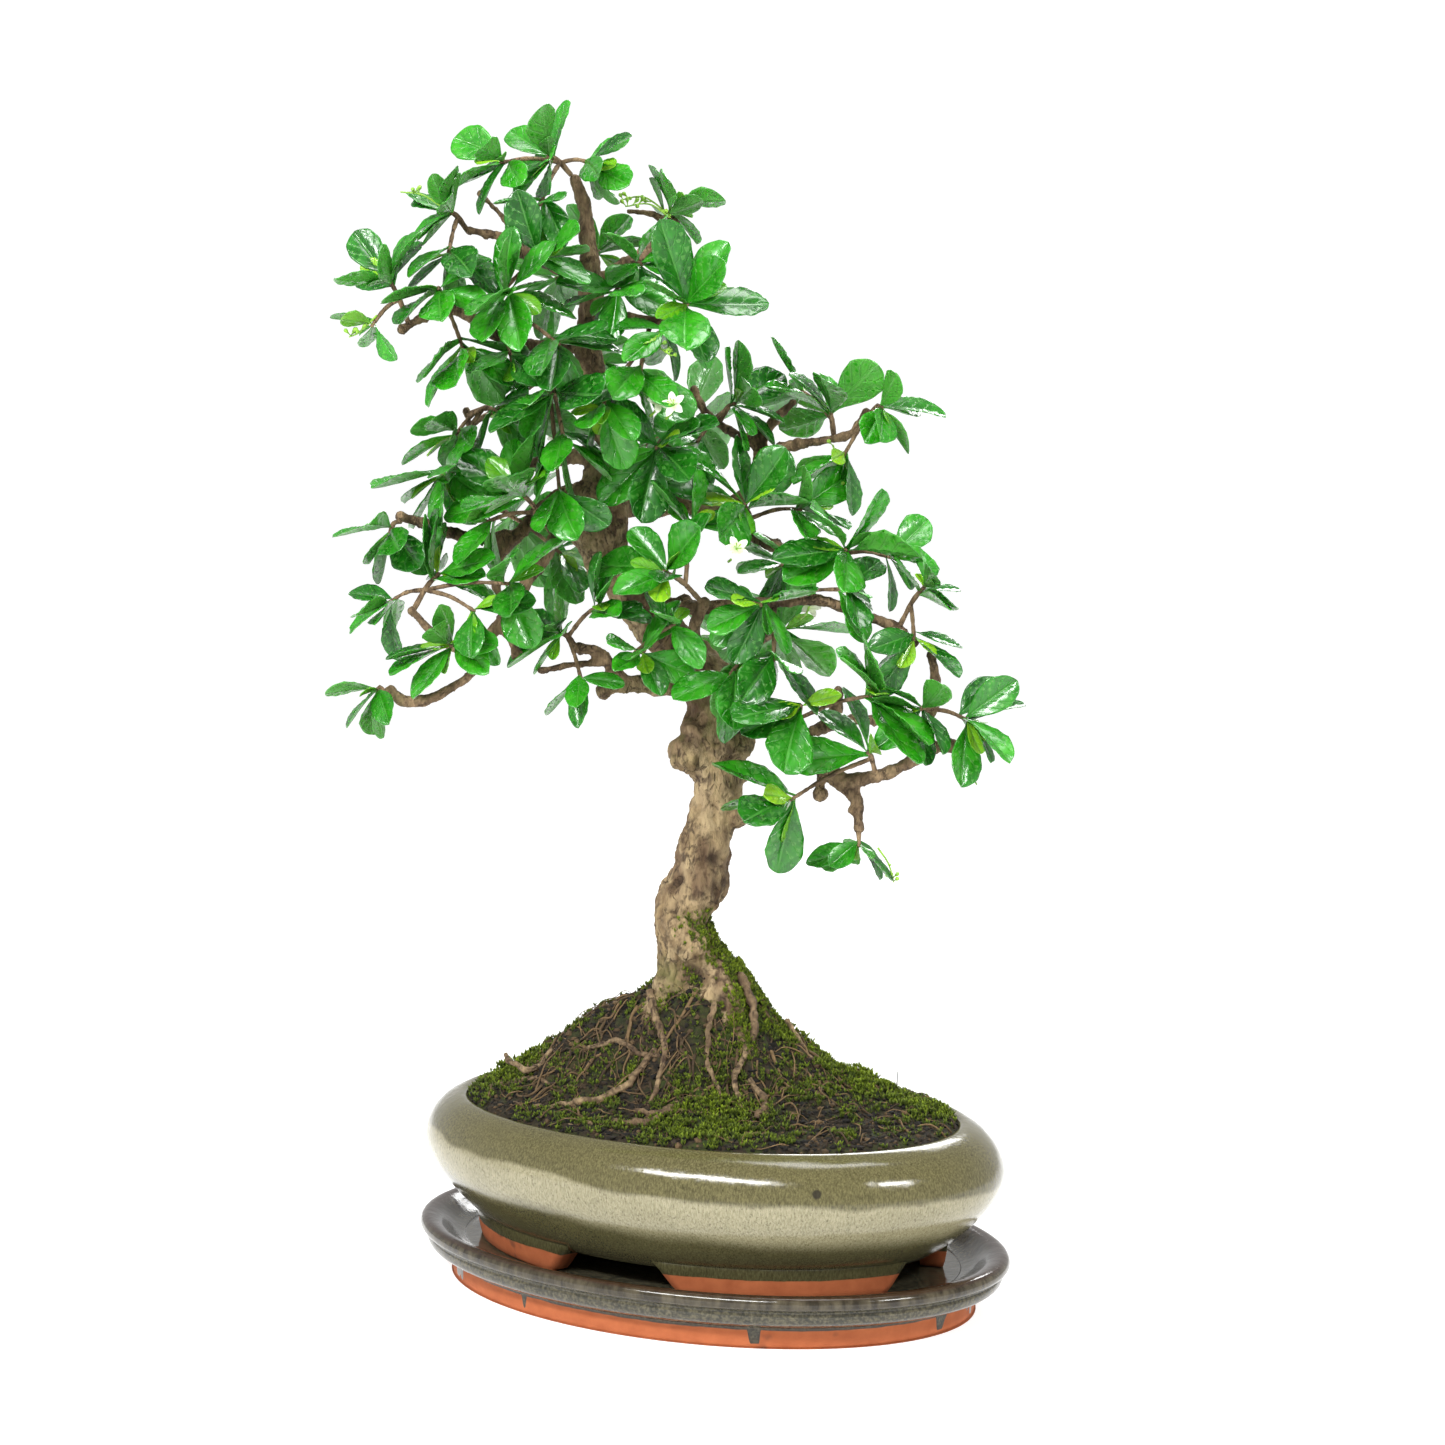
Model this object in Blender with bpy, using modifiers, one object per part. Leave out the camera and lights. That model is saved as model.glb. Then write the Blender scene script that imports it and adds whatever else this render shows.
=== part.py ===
"""A flowering bonsai tree in an oval glazed pot on a drip saucer.

The pot's long axis is X. The tree is laid out in its own front frame in millimetres:
u to its right, d to its back and z up. tree_point turns that frame to the pot's.
"""

import math
import random

import bmesh
import bpy
from mathutils import Matrix, Vector
from mathutils.bvhtree import BVHTree

MM = 0.001
TREE_TURN = math.radians(33)
GAP = 0.35
LATHE_STEPS = 40

SAUCER_RATIO = 0.69
POT_RATIO = 0.675
POT_FLOOR_TOP = 31.5
FEET_BOTTOM = 14.8
DRAIN_HOLE_AT = 45
DRAIN_HOLE_RADIUS = 8

# Half profiles (long-axis radius, height), from the middle of the top to the middle of the base.
SAUCER_PROFILE = [
    (0, 14.5), (101, 14.5), (108, 15.2), (114, 18), (118.5, 21), (122.5, 21.8), (125, 20.4),
    (124, 16), (120.5, 13.2), (117, 9), (111, 7.5), (110, 0), (0, 0),
]
POT_PROFILE = [
    (0, POT_FLOOR_TOP), (88, POT_FLOOR_TOP), (97, 34.5), (106, 40.5), (113, 47.5),
    (116, 54.3), (113.5, 60), (107, 65.5), (104, 69), (105.5, 70.9), (109, 70.4),
    (115, 67.4), (120.5, 61.8), (122.9, 54.3), (119.8, 46), (113, 38), (104, 31),
    (94, 26), (86, 25), (0, 25),
]
FOOT_RING_PROFILE = [(88, 29.7), (100.5, 30.6), (98, FEET_BOTTOM), (87.5, FEET_BOTTOM)]
SOIL_SIDE = [
    (102.8, 69.2), (106, 65.2), (112.4, 59.6), (114.8, 54.3), (111.8, 48.3), (105, 41.7),
    (96, 36), (87, 33.4), (0, 33.4),
]
SOIL_TOP_RADII = [0, 10, 20, 30, 40, 52, 65, 80, 93]

# Humps of the mound: middle (u, d), height, spread along u and d.
MOUND_HUMPS = [
    (0, 0, 47, 18, 19), (-40, 8, 24, 17, 20), (-73, 16, 8, 18, 18),
    (30, 4, 9, 14, 20), (60, -6, 4, 20, 20),
]

# Each limb: (u, d, z, radius) from where it leaves its parent.
TRUNK = [
    (3, 0, 92, 20), (2, 0, 108, 18), (-2, 0, 120, 14.5), (-8, 0, 131, 12.7),
    (-10, 0, 141, 11.5), (-9, 0, 149, 11.5), (-4, -1, 157, 11.5), (-2, -2, 166, 11),
    (0, -3, 177, 10), (2, -3, 187, 9.2), (4, -2, 196, 10), (3, 0, 205, 13),
    (3, 0, 215, 13.3), (4, 0, 225, 12.4), (0, 1, 234, 11.2), (-10, 2, 246, 9.8),
    (-21, 3, 259, 8.7), (-31, 3, 271, 8), (-38, 2, 282, 8.8), (-41, 0, 294, 10.6),
    (-40, 0, 305, 10.8), (-38, 0, 317, 8.4), (-39, 1, 332, 6.5), (-43, 2, 349, 5.8),
    (-45, 2, 366, 5.3), (-44, 1, 383, 4.8), (-45, 0, 398, 3.8), (-46, 0, 413, 3.1),
    (-50, -2, 427, 2.2),
]
ROOT_FLARE = [
    [(-7, -2, 130, 8.5), (-17, -5, 114, 6), (-25, -9, 100, 4), (-30, -12, 89, 2.5)],
    [(2, -6, 122, 9), (9, -14, 108, 6.5), (15, -21, 96, 4.5), (19, -27, 84, 2.5)],
    [(6, 3, 122, 9), (16, 6, 107, 6), (25, 9, 94, 4), (31, 10, 84, 2.5)],
    [(-4, 8, 122, 8), (-8, 17, 106, 6), (-10, 26, 92, 4), (-11, 32, 82, 2.5)],
]
BURLS = [(-12, -6, 142, 8), (12, -7, 184, 4.5), (-7, -7, 208, 8), (10, -7, 213, 8), (-48, -2, 300, 7)]

BRANCHES = {
    "branch_low_right": [
        [(4, -2, 228, 6.4), (19, -8, 223, 4.8), (28, -12, 220, 4.3), (36, -17, 214, 3.9),
         (44, -21, 206, 3.6), (50, -24, 200, 3.6), (56, -26, 194, 2.8), (57, -27, 188, 2.4),
         (57, -28, 183, 1.9)],
        [(50, -24, 199, 3.1), (65, -30, 203, 2.8), (75, -34, 208, 2.8), (84, -36, 214, 2.7),
         (91, -37, 215, 2.3)],
        [(82, -36, 213, 2.8), (82, -35, 223, 2.7), (85, -33, 232, 2.6), (85, -31, 240, 2.4),
         (84, -29, 248, 1.9)],
        [(34, -16, 216, 3.1), (44, -12, 219, 3), (49, -8, 225, 2.7), (50, -6, 232, 1.9)],
        [(45, -11, 220, 2.7), (61, 2, 221, 2.3), (73, 10, 219, 1.9)],
        [(44, -21, 206, 2.3), (43, -21, 201, 2), (43, -22, 195, 2.3)],
    ],
    "branch_low_left": [
        [(0, -3, 236, 6.4), (-7, -7, 235, 5.4), (-19, -12, 236, 4.3), (-30, -16, 236, 3.5),
         (-39, -20, 234, 2.7)],
        [(-30, -16, 236, 3.2), (-36, -17, 242, 2.7), (-40, -18, 248, 2.4), (-48, -20, 250, 2)],
        [(-38, -17, 244, 1.6), (-50, -22, 244, 1.5), (-62, -26, 242, 1.4)],
        [(-5, -8, 235, 3.5), (-5, -16, 248, 2.7), (-5, -20, 258, 2.5), (-1, -24, 267, 2.2)],
    ],
    "branch_left_droop": [
        [(-42, -3, 294, 5), (-48, -8, 294, 3.9), (-55, -11, 293, 3.5), (-60, -15, 287, 3.1),
         (-65, -19, 279, 2.8), (-72, -23, 268, 2.5), (-78, -25, 260, 2.4), (-82, -27, 253, 2.3),
         (-87, -29, 242, 2), (-99, -31, 234, 2), (-106, -32, 231, 2.3), (-113, -33, 231, 2.6),
         (-118, -34, 235, 2)],
        [(-78, -25, 259, 2), (-74, -27, 254, 1.6), (-71, -28, 248, 1.9)],
        [(-84, -27, 250, 1.9), (-95, -25, 250, 1.6), (-103, -22, 256, 1.6), (-111, -20, 264, 1.5)],
    ],
    "branch_left_mid": [
        [(-42, 4, 307, 5), (-52, 10, 308, 3.9), (-61, 13, 303, 3.5), (-67, 13, 298, 3.4),
         (-74, 10, 291, 3.1), (-89, 5, 290, 2.8), (-99, 1, 293, 2.6), (-110, -4, 297, 2.3),
         (-116, -8, 299, 1.9)],
        [(-75, 9, 291, 2.7), (-81, 6, 282, 2.4), (-81, 4, 273, 2.2), (-80, 3, 266, 1.6)],
    ],
    "branch_left_upper": [
        [(-39, 2, 321, 4.6), (-55, 12, 321, 3.5), (-68, 18, 318, 3.1), (-80, 21, 315, 2.7),
         (-89, 20, 313, 2.3)],
        [(-88, 19, 303, 1.6), (-88, 20, 314, 1.9), (-90, 18, 324, 1.6), (-93, 15, 339, 1.4)],
    ],
    "branch_right_low": [
        [(-29, 2, 270, 4.8), (-10, -10, 265, 3.2), (12, -20, 266, 2.8), (31, -26, 268, 2.4),
         (44, -28, 268, 2.3), (59, -30, 263, 2.3), (71, -31, 258, 2.2), (77, -31, 253, 1.9)],
    ],
    "branch_right_upper": [
        [(-40, 2, 304, 6), (-26, 10, 303, 4.3), (-9, 16, 302, 3.6), (0, 18, 300, 3.7),
         (12, 18, 304, 3.8), (19, 18, 312, 3.6), (21, 17, 322, 3.7), (19, 16, 329, 2.7)],
        [(20, 16, 325, 2.4), (6, 12, 333, 1.9), (-1, 10, 339, 1.8), (-5, 8, 347, 1.5)],
        [(20, 16, 326, 2.4), (26, 17, 336, 2), (33, 18, 342, 1.5)],
        [(20, 17, 321, 2.7), (30, 15, 325, 2.3), (40, 12, 327, 2), (54, 9, 330, 1.9),
         (61, 7, 338, 1.8)],
        [(-1, 17, 300, 3.2), (9, 9, 294, 2.7), (19, 2, 290, 2.6), (28, -4, 287, 2.3),
         (46, -12, 282, 1.9), (65, -16, 279, 1.6)],
        [(-10, 16, 302, 2.4), (-11, 10, 315, 1.9), (-15, 6, 328, 1.5)],
    ],
    "branch_crown_left": [
        [(-45, 2, 364, 3.6), (-63, -8, 363, 2.7), (-79, -15, 367, 2.4), (-87, -18, 373, 2.3),
         (-98, -21, 377, 2.3), (-113, -26, 369, 1.9)],
    ],
    "branch_crown_upper_left": [
        [(-45, 0, 388, 3.2), (-59, -6, 394, 2.8), (-71, -10, 399, 3), (-78, -11, 404, 2),
         (-89, -12, 406, 1.6)],
        [(-71, -10, 399, 2.3), (-75, -10, 409, 1.6), (-85, -10, 420, 1.3)],
    ],
    "branch_crown_right": [
        [(-44, 0, 384, 3.5), (-36, 7, 391, 3.1), (-26, 12, 397, 2.8), (-20, 15, 403, 2.4),
         (-13, 17, 412, 2.5)],
        [(-14, 17, 410, 1.6), (-21, 16, 414, 1.3), (-30, 15, 415, 1.2)],
    ],
    "branch_crown_mid_right": [
        [(-45, 1, 371, 3.2), (-33, -14, 374, 2.4), (-21, -22, 372, 2.3), (-11, -27, 373, 1.9)],
    ],
}
SURFACE_ROOTS = {
    "root_front_left": [(-20, -22, 1.6), (-32, -30, 1.8), (-48, -30, 1.6), (-66, -22, 1.2)],
    "root_front": [(-10, -42, 1.5), (-20, -50, 1.8), (-38, -47, 1.7), (-52, -42, 1.3)],
    "root_front_right": [(16, -34, 1.6), (22, -44, 1.8), (18, -54, 1.4)],
}
# Each cushion: middle (u, d), half sizes and thickness.
MOSS = {
    "moss_left": (-76, 18, 13, 11, 3.2),
    "moss_front": (0, -55, 24, 9, 3),
    "moss_right": (62, -12, 21, 14, 3),
    "moss_trunk": (20, -4, 9, 14, 3.4),
}

# Each spray: rosettes as (u, d, z, leaves, leaf length).
SPRAYS = {
    "spray_apex": [
        (-60, -6, 434, 8, 22), (-42, -4, 431, 7, 22), (-77, -16, 431, 6, 22), (-62, -20, 415, 6, 20),
    ],
    "spray_crown_left_tip": [(-97, -16, 413, 9, 19), (-96, -22, 397, 6, 26)],
    "spray_crown_far_left": [(-118, -30, 388, 7, 22), (-124, -30, 370, 4, 18)],
    "spray_crown_left_mid": [(-99, -32, 384, 6, 26), (-90, -28, 361, 7, 28)],
    "spray_crown_front": [
        (-72, -34, 383, 7, 28), (-60, -26, 397, 6, 24), (-54, -36, 363, 7, 28), (-72, -30, 357, 6, 24),
    ],
    "spray_crown_right_mid": [(-25, -8, 394, 7, 24), (-34, -18, 383, 6, 24), (-13, 10, 416, 7, 20)],
    "spray_crown_right_far": [(-7, -32, 378, 8, 30), (-17, -30, 367, 4, 24)],
    "spray_mid_right": [(-25, -30, 351, 7, 26), (-39, -36, 340, 6, 24)],
    "spray_mid_front": [(-56, -34, 345, 6, 28), (-53, -30, 328, 6, 26), (-55, -26, 309, 4, 24)],
    "spray_left_shoulder": [(-79, 6, 339, 8, 24), (-96, 2, 330, 6, 24), (-101, -4, 314, 7, 28)],
    "spray_left_far": [(-120, -12, 293, 7, 22)],
    "spray_left_front": [(-70, -24, 309, 6, 32), (-84, -16, 297, 6, 24)],
    "spray_left_low": [
        (-101, -16, 278, 7, 28), (-120, -20, 267, 6, 22), (-73, -34, 275, 4, 32), (-86, -38, 265, 3, 22),
    ],
    "spray_droop_mid": [(-95, -38, 252, 7, 24)],
    "spray_droop_tip": [(-123, -36, 235, 6, 20)],
    "spray_inner_right": [(-19, -22, 325, 7, 28)],
    "spray_low_left": [(-56, -26, 256, 7, 22), (-40, -28, 267, 6, 24), (-47, -27, 238, 4, 20)],
    "spray_low_centre": [(-23, -32, 250, 7, 22), (-12, -34, 260, 4, 22)],
    "spray_centre_front": [(-16, -38, 280, 7, 28), (-6, -20, 296, 4, 24)],
    "spray_right_up_left": [(11, 8, 342, 8, 26), (-4, 2, 327, 6, 26)],
    "spray_right_up_tip": [(47, 12, 339, 7, 26), (36, 22, 347, 3, 24)],
    "spray_right_up_far": [(67, 4, 340, 6, 24), (52, 2, 322, 3, 24)],
    "spray_right_front": [(14, -12, 304, 7, 32), (36, -8, 302, 6, 26)],
    "spray_right_cross": [(52, -20, 287, 6, 30), (69, -18, 284, 3, 22), (27, -20, 281, 7, 22)],
    "spray_right_low": [(20, -36, 267, 6, 24), (53, -34, 273, 7, 24)],
    "spray_right_low_tip": [(81, -34, 274, 6, 20), (77, -36, 254, 6, 24)],
    "spray_low_right_front": [(25, -32, 246, 6, 28), (8, -30, 240, 6, 30)],
    "spray_low_right_mid": [(35, -38, 230, 7, 30), (62, -40, 234, 6, 34)],
    "spray_low_right_rise": [(79, -44, 229, 6, 20), (98, -40, 224, 7, 24)],
    "spray_low_right_under": [(60, -33, 212, 4, 32), (31, -34, 194, 4, 36)],
    "spray_low_right_end": [(57, -31, 176, 6, 20)],
}
BACK_SPRAYS = {
    "spray_back_low": [(31, 60, 252, 8, 28), (9, 44, 247, 6, 26)],
    "spray_back_left": [(-77, 60, 296, 8, 28), (-58, 40, 283, 6, 26)],
    "spray_back_middle": [(-7, 60, 336, 8, 28), (-27, 38, 324, 6, 26)],
    "spray_back_crown": [(-61, 38, 390, 8, 26), (-42, 26, 401, 6, 24)],
    "spray_back_upper_left": [(-72, 44, 343, 8, 28), (-48, 32, 359, 6, 24)],
}
TWIG_RADIUS = 0.9
LEAF_TRIES = 18
LEAF_THICKNESS = 0.7
# A leaf's half outline: share of its length, share of its half width.
LEAF_OUTLINE = [(1, 0), (0.74, 0.95), (0.32, 0.8), (0, 0)]
LEAF_WIDTH_SHARE = 0.54


def clear_scene():
    for obj in list(bpy.data.objects):
        bpy.data.objects.remove(obj, do_unlink=True)


def new_collection(name, hidden=False):
    made = bpy.data.collections.new(name)
    bpy.context.scene.collection.children.link(made)
    made.hide_render = hidden
    return made


def new_material(name, colour, roughness):
    made = bpy.data.materials.new(name)
    made.use_nodes = True
    shader = made.node_tree.nodes["Principled BSDF"]
    shader.inputs["Base Color"].default_value = (*colour, 1)
    shader.inputs["Roughness"].default_value = roughness
    shader.inputs["Metallic"].default_value = 0
    return made


def tree_point(u, d, z):
    """The world place, in metres, of a point in the tree's own frame."""
    return Matrix.Rotation(TREE_TURN, 3, "Z") @ Vector((u, d, z)) * MM


def tree_place(x, y):
    """The tree's own (u, d), in millimetres, of a world place."""
    turned = Matrix.Rotation(-TREE_TURN, 3, "Z") @ Vector((x, y, 0)) / MM
    return turned.x, turned.y


def mound_height(u, d):
    """Height of the soil above the ground, in millimetres."""
    world = tree_point(u, d, 0) / MM
    edge = min(1, math.hypot(world.x / 102.8, world.y / (102.8 * POT_RATIO)))
    height = 69.2 + 12 * (1 - edge**2)
    for middle_u, middle_d, tall, wide, deep in MOUND_HUMPS:
        away = ((u - middle_u) / wide) ** 2 + ((d - middle_d) / deep) ** 2
        height += tall * math.exp(-away / 2) * (1 - edge**6)
    return height


def link(name, mesh, collection):
    made = bpy.data.objects.new(name, mesh)
    collection.objects.link(made)
    return made


def evaluated_mesh(obj, name):
    bpy.context.view_layer.update()
    graph = bpy.context.evaluated_depsgraph_get()
    return bpy.data.meshes.new_from_object(obj.evaluated_get(graph), depsgraph=graph)


def freeze(obj):
    """Replaces an object's mesh by what its modifiers make of it."""
    mesh = evaluated_mesh(obj, obj.name)
    obj.modifiers.clear()
    obj.data = mesh
    return obj


def lathe(name, profile, ratio, collection, closed=False):
    """A profile turned about Z, then narrowed along Y to an oval."""
    mesh = bpy.data.meshes.new(name)
    edges = [(i, i + 1) for i in range(len(profile) - 1)]
    if closed:
        edges.append((len(profile) - 1, 0))
    mesh.from_pydata([(r * MM, 0, z * MM) for r, z in profile], edges, [])
    made = link(name, mesh, collection)
    turn = made.modifiers.new("Turn", "SCREW")
    turn.steps = turn.render_steps = LATHE_STEPS
    turn.use_merge_vertices = True
    turn.merge_threshold = 0.0001
    turn.use_normal_calculate = True
    freeze(made)
    made.data.transform(Matrix.Diagonal((1, ratio, 1, 1)))
    face_outwards(made)
    return made


def split_to_triangles(obj):
    """Fixes how bent faces fold, so that every copy of them has the same surface."""
    work = bmesh.new()
    work.from_mesh(obj.data)
    bmesh.ops.triangulate(work, faces=work.faces)
    work.to_mesh(obj.data)
    work.free()


def face_outwards(obj):
    work = bmesh.new()
    work.from_mesh(obj.data)
    bmesh.ops.recalc_face_normals(work, faces=work.faces)
    work.to_mesh(obj.data)
    work.free()


def tube(name, points, collection, sides=8, grow=0.0, steps=2):
    """A closed, tapered round stem through points given as (place in metres, radius in mm)."""
    curve = bpy.data.curves.new(name, "CURVE")
    curve.dimensions = "3D"
    curve.bevel_depth = MM
    curve.bevel_resolution = sides // 2 - 2
    curve.use_fill_caps = True
    curve.resolution_u = steps
    spline = curve.splines.new("BEZIER")
    spline.bezier_points.add(len(points) - 1)
    for knot, (place, radius) in zip(spline.bezier_points, points):
        knot.co = place
        knot.radius = radius + grow
        knot.handle_left_type = knot.handle_right_type = "AUTO"
    source = link(name + "_curve", curve, collection)
    mesh = evaluated_mesh(source, name)
    bpy.data.objects.remove(source, do_unlink=True)
    work = bmesh.new()
    work.from_mesh(mesh)
    bmesh.ops.remove_doubles(work, verts=work.verts, dist=1e-6)
    bmesh.ops.recalc_face_normals(work, faces=work.faces)
    work.to_mesh(mesh)
    work.free()
    return link(name, mesh, collection)


def limb_tube(name, limb, collection, sides=6, grow=0.0, steps=1):
    points = [(tree_point(u, d, z), radius) for u, d, z, radius in limb]
    return tube(name, points, collection, sides, grow, steps)


def ball(name, middle, radius, collection, squash=(1, 1, 1)):
    mesh = bpy.data.meshes.new(name)
    work = bmesh.new()
    bmesh.ops.create_icosphere(work, subdivisions=1, radius=radius * MM)
    bmesh.ops.scale(work, vec=squash, verts=work.verts)
    bmesh.ops.translate(work, vec=middle, verts=work.verts)
    work.to_mesh(mesh)
    work.free()
    return link(name, mesh, collection)


def combine(base, others, operation, cutters):
    """Joins the others to the base, or cuts them from it, and hides what it used."""
    group = bpy.data.collections.new(base.name + "_" + operation.lower())
    cutters.children.link(group)
    for other in others:
        for held in list(other.users_collection):
            held.objects.unlink(other)
        group.objects.link(other)
        other.hide_render = True
        other.display_type = "WIRE"
    work = base.modifiers.new(operation.title(), "BOOLEAN")
    work.operation = operation
    work.solver = "EXACT"
    work.operand_type = "COLLECTION"
    work.collection = group
    freeze(base)
    return base


def wedge(name, half_top, half_bottom, along_x, collection):
    """A long bar with slanted sides that parts the foot ring."""
    mesh = bpy.data.meshes.new(name)
    work = bmesh.new()
    bmesh.ops.create_cube(work, size=1)
    for vert in work.verts:
        half = half_top if vert.co.z > 0 else half_bottom
        vert.co = (vert.co.x * 2 * half, vert.co.y * 260, 22 + vert.co.z * 18)
    if along_x:
        bmesh.ops.rotate(work, matrix=Matrix.Rotation(math.pi / 2, 3, "Z"), verts=work.verts)
    bmesh.ops.scale(work, vec=(MM, MM, MM), verts=work.verts)
    work.to_mesh(mesh)
    work.free()
    return link(name, mesh, collection)


def cylinder(name, middle, radius, height, collection, segments=16):
    mesh = bpy.data.meshes.new(name)
    work = bmesh.new()
    bmesh.ops.create_cone(
        work, cap_ends=True, segments=segments, radius1=radius * MM, radius2=radius * MM, depth=height * MM
    )
    bmesh.ops.translate(work, vec=Vector(middle) * MM, verts=work.verts)
    work.to_mesh(mesh)
    work.free()
    return link(name, mesh, collection)


def build_pot(parts, cutters):
    """The glazed bowl, its four feet and two drain holes, as one fired piece."""
    feet = lathe("feet", FOOT_RING_PROFILE, POT_RATIO, cutters, closed=True)
    gaps = [wedge("front_gap", 18, 26, False, cutters), wedge("end_gap", 16, 23, True, cutters)]
    combine(feet, gaps, "DIFFERENCE", cutters)
    pot = lathe("pot", POT_PROFILE, POT_RATIO, parts)
    combine(pot, [feet], "UNION", cutters)
    holes = [
        cylinder("drain_hole", (side * DRAIN_HOLE_AT, 0, 28), DRAIN_HOLE_RADIUS, 20, cutters)
        for side in (-1, 1)
    ]
    return combine(pot, holes, "DIFFERENCE", cutters)


def build_soil(parts, wood_cutters, cutters):
    """The mound of soil, with the root ball's place left open."""
    top = [(radius, 70) for radius in SOIL_TOP_RADII]
    soil = lathe("soil", top + SOIL_SIDE, POT_RATIO, parts)
    for vert in soil.data.vertices:
        if vert.co.z > 69.5 * MM:
            vert.co.z = mound_height(*tree_place(vert.co.x, vert.co.y)) * MM
    split_to_triangles(soil)
    whole = link("soil_whole", soil.data.copy(), cutters)
    whole.hide_render = True
    combine(soil, wood_cutters, "DIFFERENCE", cutters)
    return soil, whole


def raised_soil(whole, lift, cutters):
    copy = link("soil_raised", whole.data.copy(), cutters)
    copy.data.transform(Matrix.Translation((0, 0, lift * MM)))
    return copy


def build_moss(name, cushion, whole, parts, cutters):
    """A cushion of moss that lies on the mound, clear of the trunk and the roots."""
    middle_u, middle_d, half_u, half_d, thick = cushion
    mesh = bpy.data.meshes.new(name)
    work = bmesh.new()
    bmesh.ops.create_uvsphere(work, u_segments=14, v_segments=8, radius=1)
    for vert in work.verts:
        u = middle_u + half_u * vert.co.x
        d = middle_d + half_d * vert.co.y
        vert.co = tree_point(u, d, mound_height(u, d) + thick * vert.co.z)
    work.to_mesh(mesh)
    work.free()
    clear_of = [raised_soil(whole, 0.45, cutters), *trunk_pieces(cutters, GAP)]
    clear_of += [
        surface_root_tube(root + "_clearance", route, cutters, 0.6)
        for root, route in SURFACE_ROOTS.items()
    ]
    return combine(link(name, mesh, parts), clear_of, "DIFFERENCE", cutters)


def surface_root_tube(name, route, collection, grow=0.0):
    points = [(tree_point(u, d, mound_height(u, d) + 1), radius) for u, d, radius in route]
    return tube(name, points, collection, sides=6, grow=grow, steps=3)


def build_surface_root(name, route, whole, parts, cutters):
    """A root that lies along the mound, flattened where it meets the soil."""
    root = surface_root_tube(name, route, parts)
    return combine(root, [raised_soil(whole, 0.45, cutters)], "DIFFERENCE", cutters)


def trunk_pieces(collection, grow=0.0):
    pieces = [limb_tube("trunk", TRUNK, collection, 10, grow, 1)]
    for index, flare in enumerate(ROOT_FLARE):
        pieces.append(limb_tube(f"flare_{index}", flare, collection, 8, grow, 2))
    for index, (u, d, z, radius) in enumerate(BURLS):
        pieces.append(ball(f"burl_{index}", tree_point(u, d, z), radius + grow, collection))
    return pieces


def build_trunk(parts, cutters):
    first, *others = trunk_pieces(parts)
    return combine(first, others, "UNION", cutters)


def build_branch(name, limbs, parts, cutters):
    """A branch with its side shoots, cut clear of the trunk."""
    tubes = [limb_tube(f"{name}_{i}", limb, parts) for i, limb in enumerate(limbs)]
    tubes[0].name = name
    if len(tubes) > 1:
        combine(tubes[0], tubes[1:], "UNION", cutters)
    return combine(tubes[0], trunk_pieces(cutters, GAP), "DIFFERENCE", cutters)


def wood_lines():
    """Short straight stretches of all wood: (start, end, start radius, end radius)."""
    lines = []
    for limb in [TRUNK[8:], *(limb for limbs in BRANCHES.values() for limb in limbs)]:
        for (u, d, z, r), (u2, d2, z2, r2) in zip(limb, limb[1:]):
            lines.append((tree_point(u, d, z), tree_point(u2, d2, z2), r, r2))
    return lines


def nearest_wood(place, lines):
    """The nearest point on any wood's middle line, and its radius there."""
    best = None
    for start, end, r, r2 in lines:
        along = end - start
        share = min(1, max(0, (place - start).dot(along) / along.length_squared))
        point = start + share * along
        away = (place - point).length
        if best is None or away < best[0]:
            best = (away, point, r + share * (r2 - r))
    return best[1], best[2]


def spray_twigs(rosettes, lines):
    """The twigs of a spray, each as (place, radius) points: the first leaves the wood, the others leave it."""
    first_tip = tree_point(*rosettes[0][:3])
    middle, radius = nearest_wood(first_tip, lines)
    way = (first_tip - middle).normalized()
    root = middle + way * (radius + 0.7) * MM
    bend = root.lerp(first_tip, 0.5) + Vector((0, 0, 1.5 * MM))
    thick = TWIG_RADIUS * (1.5 if (first_tip - root).length > 0.03 else 1.15)
    twigs = [[(root, thick), (bend, TWIG_RADIUS * 1.1), (first_tip, TWIG_RADIUS * 0.8)]]
    for u, d, z, _leaves, _length in rosettes[1:]:
        tip = tree_point(u, d, z)
        fork = bend.lerp(root, 0.2)
        knee = fork.lerp(tip, 0.5) + Vector((0, 0, 1.5 * MM))
        twigs.append([(fork, TWIG_RADIUS), (knee, TWIG_RADIUS * 0.9), (tip, TWIG_RADIUS * 0.8)])
    return twigs


def leaf_candidate(draw, twig, order, length):
    """A place for one leaf: its base on the twig, its way out and the side that faces the light."""
    tip = twig[-1][0]
    stretch = tip - twig[-2][0]
    way = stretch.normalized()
    side = way.cross(Vector((0, 0, 1))).normalized()
    over = side.cross(way)
    turn = 2.4 * order + draw.uniform(-0.5, 0.5)
    spread = draw.uniform(0.5, 1.3)
    out = way * draw.uniform(0.3, 0.9) + (side * math.cos(turn) + over * math.sin(turn)) * spread
    out.z += draw.uniform(-0.15, 0.2)
    out.normalize()
    base = tip - way * min((0.3 + 0.8 * order) * MM, 0.6 * stretch.length)
    crown = Vector((base.x + 0.02, base.y + 0.005, 0)).normalized()
    light = Vector((0, 0, 1.0)) + crown * 0.9
    light += Vector((draw.uniform(-0.5, 0.5), draw.uniform(-0.5, 0.5), draw.uniform(-0.3, 0.3)))
    across = light.cross(out).normalized()
    up = out.cross(across)
    size = length * draw.uniform(0.8, 1.12) * MM
    bend = draw.uniform(0.05, 0.28)
    cup = draw.uniform(0.05, 0.3)
    return base, out, across, up, size, bend, cup


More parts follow.
